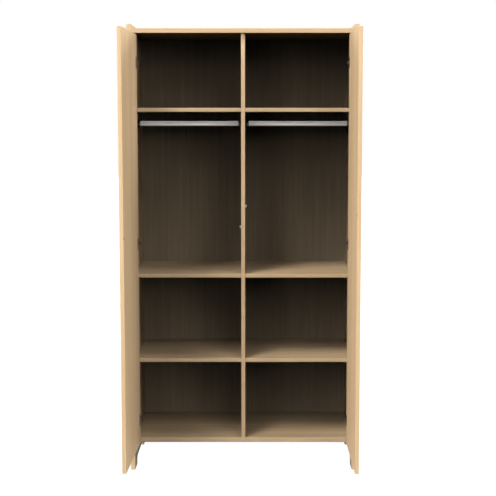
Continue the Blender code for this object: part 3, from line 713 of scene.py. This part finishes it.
def back_sheet():
    """Thin back: maple print on the face, painted darker and greyer than the boards as painted shade for
    the inside of the bays, and bare brown hardboard behind.
    """
    finish = maple("maple_back_sheet", "up", (0.31, 0.0, 0.70), BACK_PAINTED_SHADE_TONES, figure=0.9)
    tree = finish.node_tree
    shader = tree.nodes["Principled BSDF"]
    own = tree.nodes["Texture Coordinate"].outputs["Object"]
    face = shader.inputs["Base Color"].links[0].from_socket
    low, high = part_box("back_panel")
    middle = (low.y + high.y) / 2
    split = put(tree, "ShaderNodeSeparateXYZ", (-950, -500))
    tree.links.new(own, split.inputs["Vector"])
    behind = spread(tree, (-700, -500), middle, middle + PRINT_THICK)
    wire(tree, split, "Y", behind, "Value")
    felt = stretched_noise(tree, own, (-950, -750), HARDBOARD_FELT, detail=6.0, rough=0.7)
    brown = blend_node(tree, (-400, -650))
    brown.inputs["A"].default_value = HARDBOARD_DARK
    brown.inputs["B"].default_value = HARDBOARD_LIGHT
    wire(tree, felt, "Fac", brown, "Factor")
    cloud = stretched_noise(tree, own, (-950, -1000), STAIN_CLOUD, detail=5.0, rough=0.6)
    patch = spread(tree, (-400, -1000), *STAIN_CLOUD_RANGE, 0.0, STAIN_MOST)
    wire(tree, cloud, "Fac", patch, "Value")
    mottled = blend_node(tree, (-100, -700), "MULTIPLY")
    mottled.inputs["B"].default_value = HARDBOARD_STAIN
    wire(tree, patch, "Result", mottled, "Factor")
    wire(tree, brown, "Result", mottled, "A")
    both = blend_node(tree, (350, 200))
    wire(tree, behind, "Result", both, "Factor")
    tree.links.new(face, both.inputs["A"])
    wire(tree, mottled, "Result", both, "B")
    wire(tree, both, "Result", shader, "Base Color")
    return finish


RUBBED_STEEL = (0.24, 0.22, 0.19, 1)
STEEL_SHADE = (0.90, 0.90, 0.91)


def metal(name, colour, rough, stretch, bump, rub=0.0):
    """Plated or brushed steel, with its brushing along one way and its roughness between two values."""
    finish, tree, shader, own = start_finish(name)
    shader.inputs["Metallic"].default_value = 1.0
    lines = stretched_noise(tree, own, (-900, -200), stretch, detail=4.0, rough=0.6)
    tint = blend_node(tree, (-200, 200))
    tint.inputs["A"].default_value = tuple(part * shade for part, shade in zip(colour, STEEL_SHADE)) + (1,)
    tint.inputs["B"].default_value = (*colour, 1)
    wire(tree, lines, "Fac", tint, "Factor")
    result = (tint, "Result")
    if rub:
        worn = use_group(tree, RUBBED_ARRIS, (-300, 450), own, Radius=rub)
        result = lay_over(tree, (100, 250), result, (worn, "Mask"), RUBBED_STEEL)
    wire(tree, *result, shader, "Base Color")
    sheen = use_group(tree, HANDLED_SHEEN, (-300, -450), own, Low=rough[0], High=rough[1])
    wire(tree, sheen, "Roughness", shader, "Roughness")
    add_bump(tree, lines, "Fac", shader, strength=bump, depth=0.0002)
    return finish


MOULD_SPARK = (1500.0, 1500.0, 1500.0)
MOULD_FLOW = (70.0, 70.0, 70.0)
PLASTIC_SHADE = 0.86
PLASTIC_RUB = 0.0006
PLASTIC_RUB_GAIN = 1.25
PLASTIC_RUB_LIFT = 0.02


def moulded(name, colour, rough, bump):
    """Moulded plastic with the fine spark texture of its mould, paler where its edges are rubbed."""
    finish, tree, shader, own = start_finish(name)
    spark = stretched_noise(tree, own, (-900, -200), MOULD_SPARK, detail=2.0, rough=0.5)
    flow = stretched_noise(tree, own, (-900, 150), MOULD_FLOW, detail=3.0, rough=0.5)
    tint = blend_node(tree, (-200, 200))
    tint.inputs["A"].default_value = tuple(part * PLASTIC_SHADE for part in colour) + (1,)
    tint.inputs["B"].default_value = (*colour, 1)
    wire(tree, flow, "Fac", tint, "Factor")
    worn = use_group(tree, RUBBED_ARRIS, (-300, 450), own, Radius=PLASTIC_RUB)
    paler = tuple(min(1.0, part * PLASTIC_RUB_GAIN + PLASTIC_RUB_LIFT) for part in colour) + (1,)
    result = lay_over(tree, (100, 250), (tint, "Result"), (worn, "Mask"), paler)
    wire(tree, *result, shader, "Base Color")
    sheen = use_group(tree, HANDLED_SHEEN, (-300, -450), own, Low=rough[0], High=rough[1])
    wire(tree, sheen, "Roughness", shader, "Roughness")
    add_bump(tree, spark, "Fac", shader, strength=bump, depth=0.0001)
    return finish


def shelf_finishes():
    """A cut of the print of its own for each shelf, with a little dust."""
    finishes = {}
    for turn, half in enumerate(HALVES):
        for step, shelf in enumerate(SHELVES):
            shift = (0.21 + 0.37 * step, 0.43 + 0.61 * turn, 0.77 * step + 0.29 * turn)
            name = shelf + "_shelf_" + half
            finishes[name] = maple("maple_" + name, "across", shift, BOARD_TONES, dust=0.12)
    return finishes


# the two sides carry painted shade on their inner faces below the bottom panel
BOARD_FINISH = {
    "side_panel_left": maple("maple_side_left", "up", (0.11, 0.37, 0.05), BOARD_TONES,
                             painted_shade_half="left"),
    "side_panel_right": maple("maple_side_right", "up", (0.83, 0.19, 0.62), BOARD_TONES,
                              painted_shade_half="right"),
    "centre_divider": maple("maple_divider", "up", (0.47, 0.71, 0.33), BOARD_TONES),
    "top_panel": maple("maple_top", "across", (0.29, 0.53, 0.17), BOARD_TONES, dust=0.35),
    "bottom_panel": maple("maple_bottom", "across", (0.91, 0.13, 0.44), BOARD_TONES, dust=0.10),
    "door_left": maple("maple_door_left", "up", (0.67, 0.23, 0.91), BAND_TONES),
    "door_right": maple("maple_door_right", "up", (0.07, 0.89, 0.27), BAND_TONES),
    "back_panel": back_sheet(),
    **shelf_finishes(),
}

BAND_RUB = 0.0008
BAND_UP = maple("maple_band_upright", "up", (0.5, 0.2, 0.1), BAND_TONES, figure=0.7, rub=BAND_RUB)
BAND_BACK = maple("maple_band_back", "back", (0.7, 0.4, 0.8), BAND_TONES, figure=0.7, rub=BAND_RUB)
BAND_ACROSS = maple("maple_band_across", "across", (0.3, 0.6, 0.4), BOARD_TONES, rub=BAND_RUB)
# front bands of the divider and the shelves, lighter than the other bands as painted light
LIP_UP_PAINTED_LIGHT = maple("maple_lip_upright_painted_light", "up", (0.2, 0.5, 0.9), DIVIDER_LIP_PAINTED_LIGHT_TONES, figure=0.7, rub=BAND_RUB)
LIP_ACROSS_PAINTED_LIGHT = maple("maple_lip_across_painted_light", "across", (0.6, 0.3, 0.7), SHELF_LIP_PAINTED_LIGHT_TONES, figure=0.7, rub=BAND_RUB)
CAP_MAPLE = maple("maple_cover_cap", "across", (0.9, 0.1, 0.6), BAND_TONES,
                  figure=0.4, dust=0.2, rub=0.0005)

BRUSHED_RAIL = metal("brushed_steel_rail", (0.58, 0.57, 0.565), rough=(0.62, 0.72),
                     stretch=(6.0, 900.0, 900.0), bump=0.10)
NICKEL_PLATE = metal("black_nickel_plate", (0.105, 0.090, 0.074), rough=(0.40, 0.56),
                     stretch=(90.0, 90.0, 90.0), bump=0.06, rub=0.0004)
LINK_STEEL = metal("black_nickel_link", (0.130, 0.116, 0.100), rough=(0.38, 0.52),
                   stretch=(120.0, 120.0, 120.0), bump=0.08, rub=0.0003)
SCREW_STEEL = metal("black_nickel_screw", (0.150, 0.134, 0.114), rough=(0.36, 0.52),
                    stretch=(300.0, 300.0, 300.0), bump=0.08, rub=0.0003)
SOCKET_BLACK = moulded("moulded_black_socket", (0.032, 0.033, 0.034), rough=(0.34, 0.48), bump=0.15)
LATCH_CREAM = moulded("moulded_cream_latch", (0.60, 0.525, 0.43), rough=(0.36, 0.50), bump=0.12)
PLUNGER_GREY = moulded("moulded_grey_plunger", (0.43, 0.39, 0.335), rough=(0.36, 0.50), bump=0.12)


def dress_boards():
    for name, finish in BOARD_FINISH.items():
        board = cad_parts[name]
        board.data.materials.clear()
        board.data.materials.append(finish)


# edge bands

def outer_edges(way):
    """Tells the edges around the face that looks one way."""
    way = Vector(way)

    def wanted(edge):
        leans = [face.normal.dot(way) for face in edge.link_faces]
        return min(leans) > -0.5 and max(leans) > 0.5

    return wanted


def band(name, low, high, face, finish, body, slot="maple_board", swing=None):
    """A glued edge strip, with the arrises of its outer face rounded over."""
    strip = block(name, low, high)
    pick_edges(strip, outer_edges(face))
    bpy.ops.mesh.bevel(offset=BAND_ROUNDING, segments=3, profile=0.6, affect="EDGES")
    end_edit()
    smooth()
    if swing is not None:
        strip.matrix_world = swing
        settle(strip)
    return fit(strip, body, slot, finish)


def band_carcass():
    for half in HALVES:
        low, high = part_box("side_panel_" + half)
        band("front_band_side_" + half,
             (low.x - BAND_LAP, low.y - BAND_PROUD, low.z + BAND_SHORT),
             (high.x + BAND_LAP, low.y + BAND_SUNK, high.z - BAND_SHORT),
             (0, -1, 0), BAND_UP, "carcass")
        band("top_band_side_" + half,
             (low.x - BAND_LAP, low.y + BEHIND_FRONT_BAND, high.z - BAND_SUNK),
             (high.x + BAND_LAP, high.y - BAND_SHORT, high.z + BAND_PROUD),
             (0, 0, 1), BAND_BACK, "carcass")
    low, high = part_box("centre_divider")
    # the divider's front band is in the lighter print that is painted light
    band("front_band_divider",
         (low.x - BAND_LAP, low.y - BAND_PROUD, low.z + BAND_SHORT),
         (high.x + BAND_LAP, low.y + BAND_SUNK, high.z - BAND_SHORT),
         (0, -1, 0), LIP_UP_PAINTED_LIGHT, "carcass")
    lying = ["top_panel", "bottom_panel"]
    lying += [shelf + "_shelf_" + half for shelf in SHELVES for half in HALVES]
    # the shelves' and the bottom panel's front bands carry painted light; the top panel's has the plain
    # board print
    for name in lying:
        low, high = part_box(name)
        band("front_band_" + name,
             (low.x + LYING_BAND_SHORT, low.y - BAND_PROUD, low.z - BAND_LAP),
             (high.x - LYING_BAND_SHORT, low.y + BAND_SUNK, high.z + BAND_LAP),
             (0, -1, 0), BAND_ACROSS if name == "top_panel" else LIP_ACROSS_PAINTED_LIGHT, "carcass")


def band_doors():
    """Bands on all four edges of each door, made on the shut door and swung open with it."""
    for half in HALVES:
        low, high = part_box("door_" + half)
        swing = door_swing(half)
        hand = HAND[half]
        body = half + "_door"
        slot = "maple_door"
        ends = sorted((hand * (INNER - DOOR_GAP), hand * (INNER - DOOR_GAP - DOOR_WIDE)))
        near = FRONT - BAND_LAP
        far = FRONT + DOOR_THICK + BAND_LAP
        for edge, face in zip(ends, (-1, 1)):
            inside = edge - face * BAND_SUNK
            outside = edge + face * BAND_PROUD
            title = "hinge_band_" if face == hand else "meeting_band_"
            band(title + "door_" + half,
                 (min(inside, outside), near, low.z + BAND_SHORT),
                 (max(inside, outside), far, high.z - BAND_SHORT),
                 (face, 0, 0), BAND_UP, body, slot, swing)
        band("top_band_door_" + half,
             (ends[0] + BAND_SHORT, near, high.z - BAND_SUNK),
             (ends[1] - BAND_SHORT, far, high.z + BAND_PROUD),
             (0, 0, 1), BAND_BACK, body, slot, swing)
        band("foot_band_door_" + half,
             (ends[0] + BAND_SHORT, near, low.z - BAND_PROUD),
             (ends[1] - BAND_SHORT, far, low.z + BAND_SUNK),
             (0, 0, -1), BAND_BACK, body, slot, swing)


# rails and their sockets

RAILS_ALONE = bpy.data.collections.new("rails_alone")


def make_rails():
    """Round tubes, open at both ends."""
    for half in HALVES:
        low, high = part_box("hanging_rail_" + half)
        middle = (low + high) / 2
        radius = (high.z - low.z) / 2
        rail = rod("rail_" + half, radius, (low.x, middle.y, middle.z),
                   (high.x, middle.y, middle.z), sides=72)
        for end in (-1, 1):
            pick_faces(rail, facing((end, 0, 0)))
            bpy.ops.mesh.inset(thickness=RAIL_WALL)
            push((-end * RAIL_HOLLOW, 0, 0))
            end_edit()
        round_off(rail, RAIL_ROUNDING)
        fit(rail, "carcass", "satin_rail", BRUSHED_RAIL, "hanging_rail_" + half)
        RAILS_ALONE.objects.link(rail)


def make_sockets():
    """Moulded cups on the side and the divider that hold the ends of the rails."""
    for half in HALVES:
        for end in ("outer", "inner"):
            node = "rail_socket_" + half + "_" + end
            low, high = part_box(node)
            middle = (low + high) / 2
            radius = (high.z - low.z) / 2
            way = HAND[half] if end == "inner" else -HAND[half]
            wall = low.x if way > 0 else high.x
            mouth = (high.x if way > 0 else low.x) + way * SOCKET_COLLAR
            cup = rod("socket_" + half + "_" + end, radius,
                      (wall, middle.y, middle.z), (mouth, middle.y, middle.z), sides=64)
            pick_faces(cup, facing((way, 0, 0)))
            bpy.ops.mesh.inset(thickness=SOCKET_WALL)
            push((-way * (SOCKET_WELL + SOCKET_COLLAR), 0, 0))
            end_edit()
            round_off(cup, SOCKET_ROUNDING, steps=3)
            fit(cup, "carcass", "black_socket", SOCKET_BLACK, node)


# hinges

def softened(node, name, width):
    """A merged copy of a plain solid with its sharp edges broken."""
    lay_down_all()
    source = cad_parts[node]
    piece = source.copy()
    piece.data = source.data.copy()
    piece.parent = None
    for key in list(piece.keys()):
        del piece[key]
    bpy.context.scene.collection.objects.link(piece)
    piece.name = name
    piece.data.name = name
    take(piece)
    bpy.ops.object.mode_set(mode="EDIT")
    bpy.ops.mesh.select_all(action="SELECT")
    bpy.ops.mesh.remove_doubles(threshold=0.00001)
    bpy.ops.mesh.dissolve_limited(angle_limit=math.radians(1.0))
    end_edit()
    return round_off(piece, width, from_angle=50)


def runs_back(edge):
    """Tells the edges that run from the front to the back."""
    run = edge.verts[0].co - edge.verts[1].co
    return abs(run.normalized().y) > ALONG


def make_cup_pattern():
    """Hinge cup at hinge measures: a deep well and a winged rim let into the door's inner face."""
    cup = rod("cup_pattern", CUP_RADIUS, (CUP_IN, CUP_FLOOR, 0),
              (CUP_IN, RIM_BACK + CUP_INTO_RIM, 0), sides=72)
    pick_faces(cup, facing((0, -1, 0)))
    bpy.ops.mesh.bevel(offset=CUP_FOOT_ROUNDING, segments=3, affect="EDGES")
    end_edit()
    rim = block("rim", (RIM_MIDDLE - RIM_HALF_WIDE, RIM_BACK, -RIM_HALF_TALL),
                (RIM_MIDDLE + RIM_HALF_WIDE, RIM_FACE, RIM_HALF_TALL))
    pick_edges(rim, runs_back)
    bpy.ops.mesh.bevel(offset=RIM_CORNER, segments=6, affect="EDGES")
    end_edit()
    join_with(cup, rim, "UNION")
    well = rod("well", CUP_RADIUS - CUP_WALL, (CUP_IN, CUP_FLOOR + CUP_WALL, 0),
               (CUP_IN, BEYOND_RIM, 0), sides=72)
    join_with(cup, well, "DIFFERENCE")
    round_off(cup, CUP_ROUNDING, from_angle=50)
    near, far = CUP_PIN_REACH
    for way in (-1, 1):
        stub = rod("stub", CUP_PIN_RADIUS, (*CUP_PIN, way * near), (*CUP_PIN, way * far), sides=24)
        join_with(cup, stub, "UNION")
    pick_faces(cup, lambda face: True)
    bpy.ops.mesh.remove_doubles(threshold=0.000005)
    end_edit()
    smooth()
    return cup


def make_screw_pattern(head, tall):
    """Pan-head screw seen from above, with a cross recess; it stands on Z = 0."""
    screw = rod("screw_pattern", head, (0, 0, -HEAD_SUNK), (0, 0, tall * HEAD_EDGE), sides=32)
    pick_faces(screw, facing((0, 0, 1)))
    for narrower, higher in HEAD_STEPS:
        bpy.ops.mesh.inset(thickness=head * narrower)
        bpy.ops.transform.translate(value=(0, 0, tall * higher))
    end_edit()
    reach = head * CROSS_REACH
    slot = head * CROSS_HALF_SLOT
    for wide, long in ((reach, slot), (slot, reach)):
        groove = block("groove", (-wide, -long, tall * CROSS_FLOOR), (wide, long, tall * 2))
        join_with(screw, groove, "DIFFERENCE")
    smooth(40)
    return screw


TO_BACK = Matrix.Rotation(math.radians(-90), 4, "X")
TO_RIGHT = Matrix.Rotation(math.radians(90), 4, "Y")


def make_hinges():
    cup_pattern = make_cup_pattern()
    screw_pattern = make_screw_pattern(*HINGE_HEAD)
    small_screw = make_screw_pattern(*ARM_HEAD)
    for half in HALVES:
        swing = door_swing(half)
        door = half + "_door"
        for level in LEVELS:
            mark = half + "_" + level
            place = hinge_place(half, hinge_height(half, level))
            cup = copy_to(cup_pattern, "cup_" + mark, swing @ place)
            fit(cup, door, "nickel_hinge", NICKEL_PLATE, "hinge_cup_" + mark)
            heads = []
            for up in (-CUP_SCREW_UP, CUP_SCREW_UP):
                spot = Matrix.Translation((CUP_SCREW_IN, RIM_FACE, up))
                heads.append(copy_to(screw_pattern, "head", swing @ place @ spot @ TO_BACK))
            fit(gather("cup_screws_" + mark, heads), door, "nickel_hinge", SCREW_STEEL)
            heads = []
            for up in (-PLATE_SCREW_UP, PLATE_SCREW_UP):
                spot = Matrix.Translation((PLATE_FACE, PLATE_SCREW_BACK, up))
                heads.append(copy_to(screw_pattern, "head", place @ spot @ TO_RIGHT))
            spot = Matrix.Translation((ARM_FACE, ARM_SCREW_BACK, 0))
            heads.append(copy_to(small_screw, "head", place @ spot @ TO_RIGHT))
            fit(gather("plate_screws_" + mark, heads), "carcass", "nickel_hinge", SCREW_STEEL)
            for kind, body, width, slot, finish in (
                    ("arm", "carcass", ARM_ROUNDING, "nickel_hinge", NICKEL_PLATE),
                    ("plate", "carcass", ARM_ROUNDING, "nickel_hinge", NICKEL_PLATE),
                    ("inner_link", half + "_inner_links", LINK_ROUNDING, "link_steel", LINK_STEEL),
                    ("outer_link", half + "_outer_links", LINK_ROUNDING, "link_steel", LINK_STEEL)):
                node = "hinge_" + kind + "_" + mark
                piece = softened(node, kind + "_" + mark, width)
                fit(piece, body, slot, finish, node)
    for pattern in (cup_pattern, screw_pattern, small_screw):
        put_away(pattern)


# touch latches

def make_latch_housing(half, low, high):
    """A rounded box with a bore for the plunger and the parting grooves of its mould."""
    middle = (low + high) / 2
    house = block("latch_" + half, low, high)
    round_off(house, LATCH_ROUNDING, steps=3)
    bore = rod("bore", LATCH_BORE, (middle.x, low.y - 2 * CUTTER_OVER, middle.z),
               (middle.x, low.y + LATCH_BORE_END, middle.z), sides=40)
    join_with(house, bore, "DIFFERENCE")
    near, far = LATCH_GROOVE
    for start, end in ((low.z - CUTTER_OVER, low.z + LATCH_GROOVE_DEEP),
                       (high.z - LATCH_GROOVE_DEEP, high.z + CUTTER_OVER)):
        groove = block("groove", (low.x - CUTTER_OVER, low.y + near, start),
                       (high.x + CUTTER_OVER, low.y + far, end))
        join_with(house, groove, "DIFFERENCE")
    smooth()
    fit(house, "carcass", "cream_latch", LATCH_CREAM, "latch_housing_" + half)


def make_plunger(half):
    """The pin that the door presses: a round head on a thinner stem."""
    low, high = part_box("latch_plunger_" + half)
    middle = (low + high) / 2
    head = (high.z - low.z) / 2
    pin = rod("plunger_" + half, head, (middle.x, low.y, middle.z),
              (middle.x, low.y + PLUNGER_HEAD, middle.z), sides=40)
    pick_faces(pin, facing((0, 1, 0)))
    bpy.ops.mesh.inset(thickness=head - PLUNGER_STEM)
    push((0, high.y - low.y - PLUNGER_HEAD, 0))
    end_edit()
    round_off(pin, PLUNGER_ROUNDING, steps=3, from_angle=50)
    fit(pin, half + "_plunger", "grey_plunger", PLUNGER_GREY, "latch_plunger_" + half)


def make_latches():
    screw_pattern = make_screw_pattern(*LATCH_HEAD)
    for half in HALVES:
        low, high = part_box("latch_housing_" + half)
        make_latch_housing(half, low, high)
        outer = high.x if half == "right" else low.x
        turn = TO_RIGHT if half == "right" else TO_RIGHT.inverted()
        heads = []
        for back in LATCH_SCREWS_BACK:
            spot = Matrix.Translation((outer, low.y + back, (low.z + high.z) / 2))
            heads.append(copy_to(screw_pattern, "head", spot @ turn))
        fit(gather("latch_screws_" + half, heads), "carcass", "nickel_hinge", SCREW_STEEL)
        make_plunger(half)
    put_away(screw_pattern)


def make_strikes():
    """Round strike plates on the doors, each on a stem let into the board."""
    for half in HALVES:
        swing = door_swing(half)
        node = "latch_strike_" + half
        low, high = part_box(node)
        shut = swing.inverted() @ ((low + high) / 2)
        face = FRONT + DOOR_THICK + STRIKE_OFF
        disc = rod("strike_" + half, STRIKE_RADIUS, (shut.x, face, shut.z),
                   (shut.x, face + STRIKE_THICK, shut.z))
        pick_faces(disc, facing((0, -1, 0)))
        bpy.ops.mesh.inset(thickness=STRIKE_RADIUS - STRIKE_STEM_RADIUS)
        push((0, -STRIKE_STEM_LONG, 0))
        end_edit()
        round_off(disc, STRIKE_ROUNDING, from_angle=50)
        disc.matrix_world = swing
        settle(disc)
        fit(disc, half + "_door", "nickel_hinge", NICKEL_PLATE, node)


# small fittings

def make_shelf_pins():
    """Steel pins under the shelves, four to a shelf, pushed into the side and the divider."""
    pattern = rod("pin_pattern", PIN_FLANGE, (-PIN_FLANGE_SUNK, 0, 0), (PIN_FLANGE_PROUD, 0, 0), sides=32)
    pick_faces(pattern, facing((1, 0, 0)))
    bpy.ops.mesh.inset(thickness=PIN_THINNER)
    push((PIN_LONG, 0, 0))
    end_edit()
    round_off(pattern, PIN_ROUNDING, from_angle=50)
    about = Matrix.Rotation(math.radians(180), 4, "Z")
    for shelf in SHELVES:
        for half in HALVES:
            low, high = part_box(shelf + "_shelf_" + half)
            up = low.z - PIN_BELOW_SHELF
            pins = []
            for back in (low.y + PIN_FROM_EDGE, high.y - PIN_FROM_EDGE):
                spot = Matrix.Translation((low.x - PIN_BESIDE_SHELF, back, up))
                pins.append(copy_to(pattern, "pin", spot))
                spot = Matrix.Translation((high.x + PIN_BESIDE_SHELF, back, up))
                pins.append(copy_to(pattern, "pin", spot @ about))
            fit(gather("pins_" + shelf + "_" + half, pins), "carcass", "nickel_hinge", SCREW_STEEL)
    put_away(pattern)


def make_cover_caps():
    """Push-in caps over the connecting bolts, on the top's upper face and under the bottom."""
    pattern = rod("cap_pattern", CAP_RADIUS, (0, 0, -CAP_SUNK), (0, 0, CAP_PROUD), sides=40)
    round_off(pattern, CAP_ROUNDING, steps=3)
    upside_down = Matrix.Rotation(math.radians(180), 4, "X")
    for name, on_top in (("top_panel", True), ("bottom_panel", False)):
        low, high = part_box(name)
        face = high.z if on_top else low.z
        turn = Matrix.Identity(4) if on_top else upside_down
        caps = []
        for across in (low.x + CAP_FROM_SIDE, 0.0, high.x - CAP_FROM_SIDE):
            for back in (low.y + CAP_FROM_EDGE, high.y - CAP_FROM_EDGE):
                spot = Matrix.Translation((across, back, face))
                caps.append(copy_to(pattern, "cap", spot @ turn))
        fit(gather("caps_" + name, caps), "carcass", "maple_board", CAP_MAPLE)
    put_away(pattern)


# floor, light and camera

FLOOR_SIZE = 60.0
FLOOR_DROP = 0.0004
FLOOR_NEAR = 0.9
FLOOR_FAR = 4.0
FLOOR_NEAR_WHITE = 0.955
FLOOR_MATT = (0.26, 0.26, 0.26, 1)
FLOOR_DIM = (0.12, 0.12, 0.12, 1)


def make_floor():
    """A pale floor that is white to the camera, keeps the object's shadow and throws little light back."""
    lay_down_all()
    bpy.ops.mesh.primitive_plane_add(size=FLOOR_SIZE, location=(0, 0, -FLOOR_DROP))
    floor = settle(bpy.context.object)
    floor.name = "studio_floor"
    finish = bpy.data.materials.new("pale_floor")
    finish.use_nodes = True
    tree = finish.node_tree
    tree.nodes.clear()
    out = put(tree, "ShaderNodeOutputMaterial", (900, 0))
    where = put(tree, "ShaderNodeTexCoord", (-900, 0))
    far = put(tree, "ShaderNodeVectorMath", (-700, 0))
    far.operation = "LENGTH"
    wire(tree, where, "Object", far, 0)
    glow = spread(tree, (-450, 0), FLOOR_NEAR, FLOOR_FAR, FLOOR_NEAR_WHITE, 1.0)
    wire(tree, far, "Value", glow, "Value")
    white = put(tree, "ShaderNodeEmission", (-150, 100), Color=(1, 1, 1, 1))
    wire(tree, glow, "Result", white, "Strength")
    matt = put(tree, "ShaderNodeBsdfDiffuse", (-150, -100), Color=FLOOR_MATT)
    shown = put(tree, "ShaderNodeAddShader", (150, 50))
    wire(tree, white, "Emission", shown, 0)
    wire(tree, matt, "BSDF", shown, 1)
    dim = put(tree, "ShaderNodeBsdfDiffuse", (150, -200), Color=FLOOR_DIM)
    mix = put(tree, "ShaderNodeMixShader", (600, 0))
    wire(tree, seen_ray(tree, (-150, 500)), "Value", mix, 0)
    wire(tree, dim, "BSDF", mix, 1)
    wire(tree, shown, "Shader", mix, 2)
    wire(tree, mix, "Shader", out, "Surface")
    floor.data.materials.append(finish)


def make_surround():
    """White all round to the camera and in reflections, and a faint cool light on the object."""
    world = bpy.data.worlds.new("white_studio")
    bpy.context.scene.world = world
    world.use_nodes = True
    tree = world.node_tree
    tree.nodes.clear()
    out = put(tree, "ShaderNodeOutputWorld", (600, 100))
    white = put(tree, "ShaderNodeBackground", (0, 150), Color=(1, 1, 1, 1), Strength=1.0)
    soft = put(tree, "ShaderNodeBackground", (0, -50), Color=(0.9, 0.96, 1, 1), Strength=0.006)
    mix = put(tree, "ShaderNodeMixShader", (350, 100))
    wire(tree, seen_ray(tree, (-200, 300)), "Value", mix, 0)
    wire(tree, soft, "Background", mix, 1)
    wire(tree, white, "Background", mix, 2)
    wire(tree, mix, "Shader", out, "Surface")


WHITE = (1, 1, 1)
WARM = (1.0, 0.97, 0.92)
LAMP_WIDTH = math.radians(20)
LAMP_AWAY = 6.0


def far_lamp(name, azimuth, height_angle, strength, tint=WHITE):
    """A distant soft lamp; azimuth 0 is straight in front and minus is left, in degrees."""
    turn = math.radians(azimuth)
    rise = math.radians(height_angle)
    way = Vector((math.sin(turn) * math.cos(rise), -math.cos(turn) * math.cos(rise), math.sin(rise)))
    data = bpy.data.lights.new(name, "SUN")
    data.angle = LAMP_WIDTH
    data.energy = strength * math.pi
    data.color = tint
    lamp = bpy.data.objects.new(name, data)
    bpy.context.scene.collection.objects.link(lamp)
    lamp.location = way * LAMP_AWAY
    lamp.rotation_mode = "QUATERNION"
    lamp.rotation_quaternion = (-way).to_track_quat("-Z", "Y")
    return lamp


def rail_lamp(name, azimuth, height_angle, strength):
    """A lamp that only the hanging rails catch, so that they stand out under the hat shelves."""
    lamp = far_lamp(name, azimuth, height_angle, strength)
    lamp.light_linking.receiver_collection = RAILS_ALONE
    lamp.light_linking.blocker_collection = RAILS_ALONE


def make_light():
    """A warm key high on the left, fill from both sides, weak light in front and two lamps behind."""
    far_lamp("key_left", -45, 56, 0.43, WARM)
    far_lamp("key_front", -30, 46, 0.19)
    far_lamp("left_middle", -30, 18, 0.075)
    far_lamp("left_low", -60, 5, 0.58)
    far_lamp("side_left", -75, 18, 0.065)
    far_lamp("front_left", -15, 32, 0.047)
    far_lamp("front_left_low", -15, 5, 0.028)
    far_lamp("front_right", 15, 18, 0.058)
    far_lamp("front_right_high", 15, 32, 0.049)
    far_lamp("right_middle", 30, 46, 0.13)
    far_lamp("right_low", 30, 5, 0.051)
    far_lamp("side_right_low", 60, 5, 0.37)
    far_lamp("side_right_high", 60, 66, 0.136)
    far_lamp("side_right", 75, 32, 0.29)
    far_lamp("back_left", -140, 12, 0.45)
    far_lamp("back_right", 140, 12, 0.55)
    rail_lamp("rail_above", 0, 78, 0.45)
    rail_lamp("rail_below", 0, -48, 0.3)
    bpy.context.scene.cycles.diffuse_bounces = 0


# camera, in metres and degrees: beside the middle, before the front, above the floor and looking down
CAMERA_ASIDE = 0.0686
CAMERA_AWAY = 5.964
CAMERA_UP = 1.7965
CAMERA_DOWN_ANGLE = 6.264
CAMERA_SENSOR_MM = 36.0
CAMERA_LENS_MM = 86.82
CAMERA_SHIFT = -0.01772
CAMERA_SIGHT = 200.0


def make_camera():
    data = bpy.data.cameras.new("camera")
    data.sensor_width = CAMERA_SENSOR_MM
    data.lens = CAMERA_LENS_MM
    data.shift_x = CAMERA_SHIFT
    data.clip_end = CAMERA_SIGHT
    camera = bpy.data.objects.new("camera", data)
    bpy.context.scene.collection.objects.link(camera)
    camera.location = (CAMERA_ASIDE, FRONT - CAMERA_AWAY, CAMERA_UP)
    camera.rotation_euler = (math.radians(90 - CAMERA_DOWN_ANGLE), 0, 0)
    bpy.context.scene.camera = camera


make_camera()
dress_boards()
band_carcass()
band_doors()
make_rails()
make_sockets()
make_hinges()
make_latches()
make_strikes()
make_shelf_pins()
make_cover_caps()
make_floor()
make_surround()
make_light()
lay_down_all()
bpy.context.scene.view_settings.view_transform = "Standard"
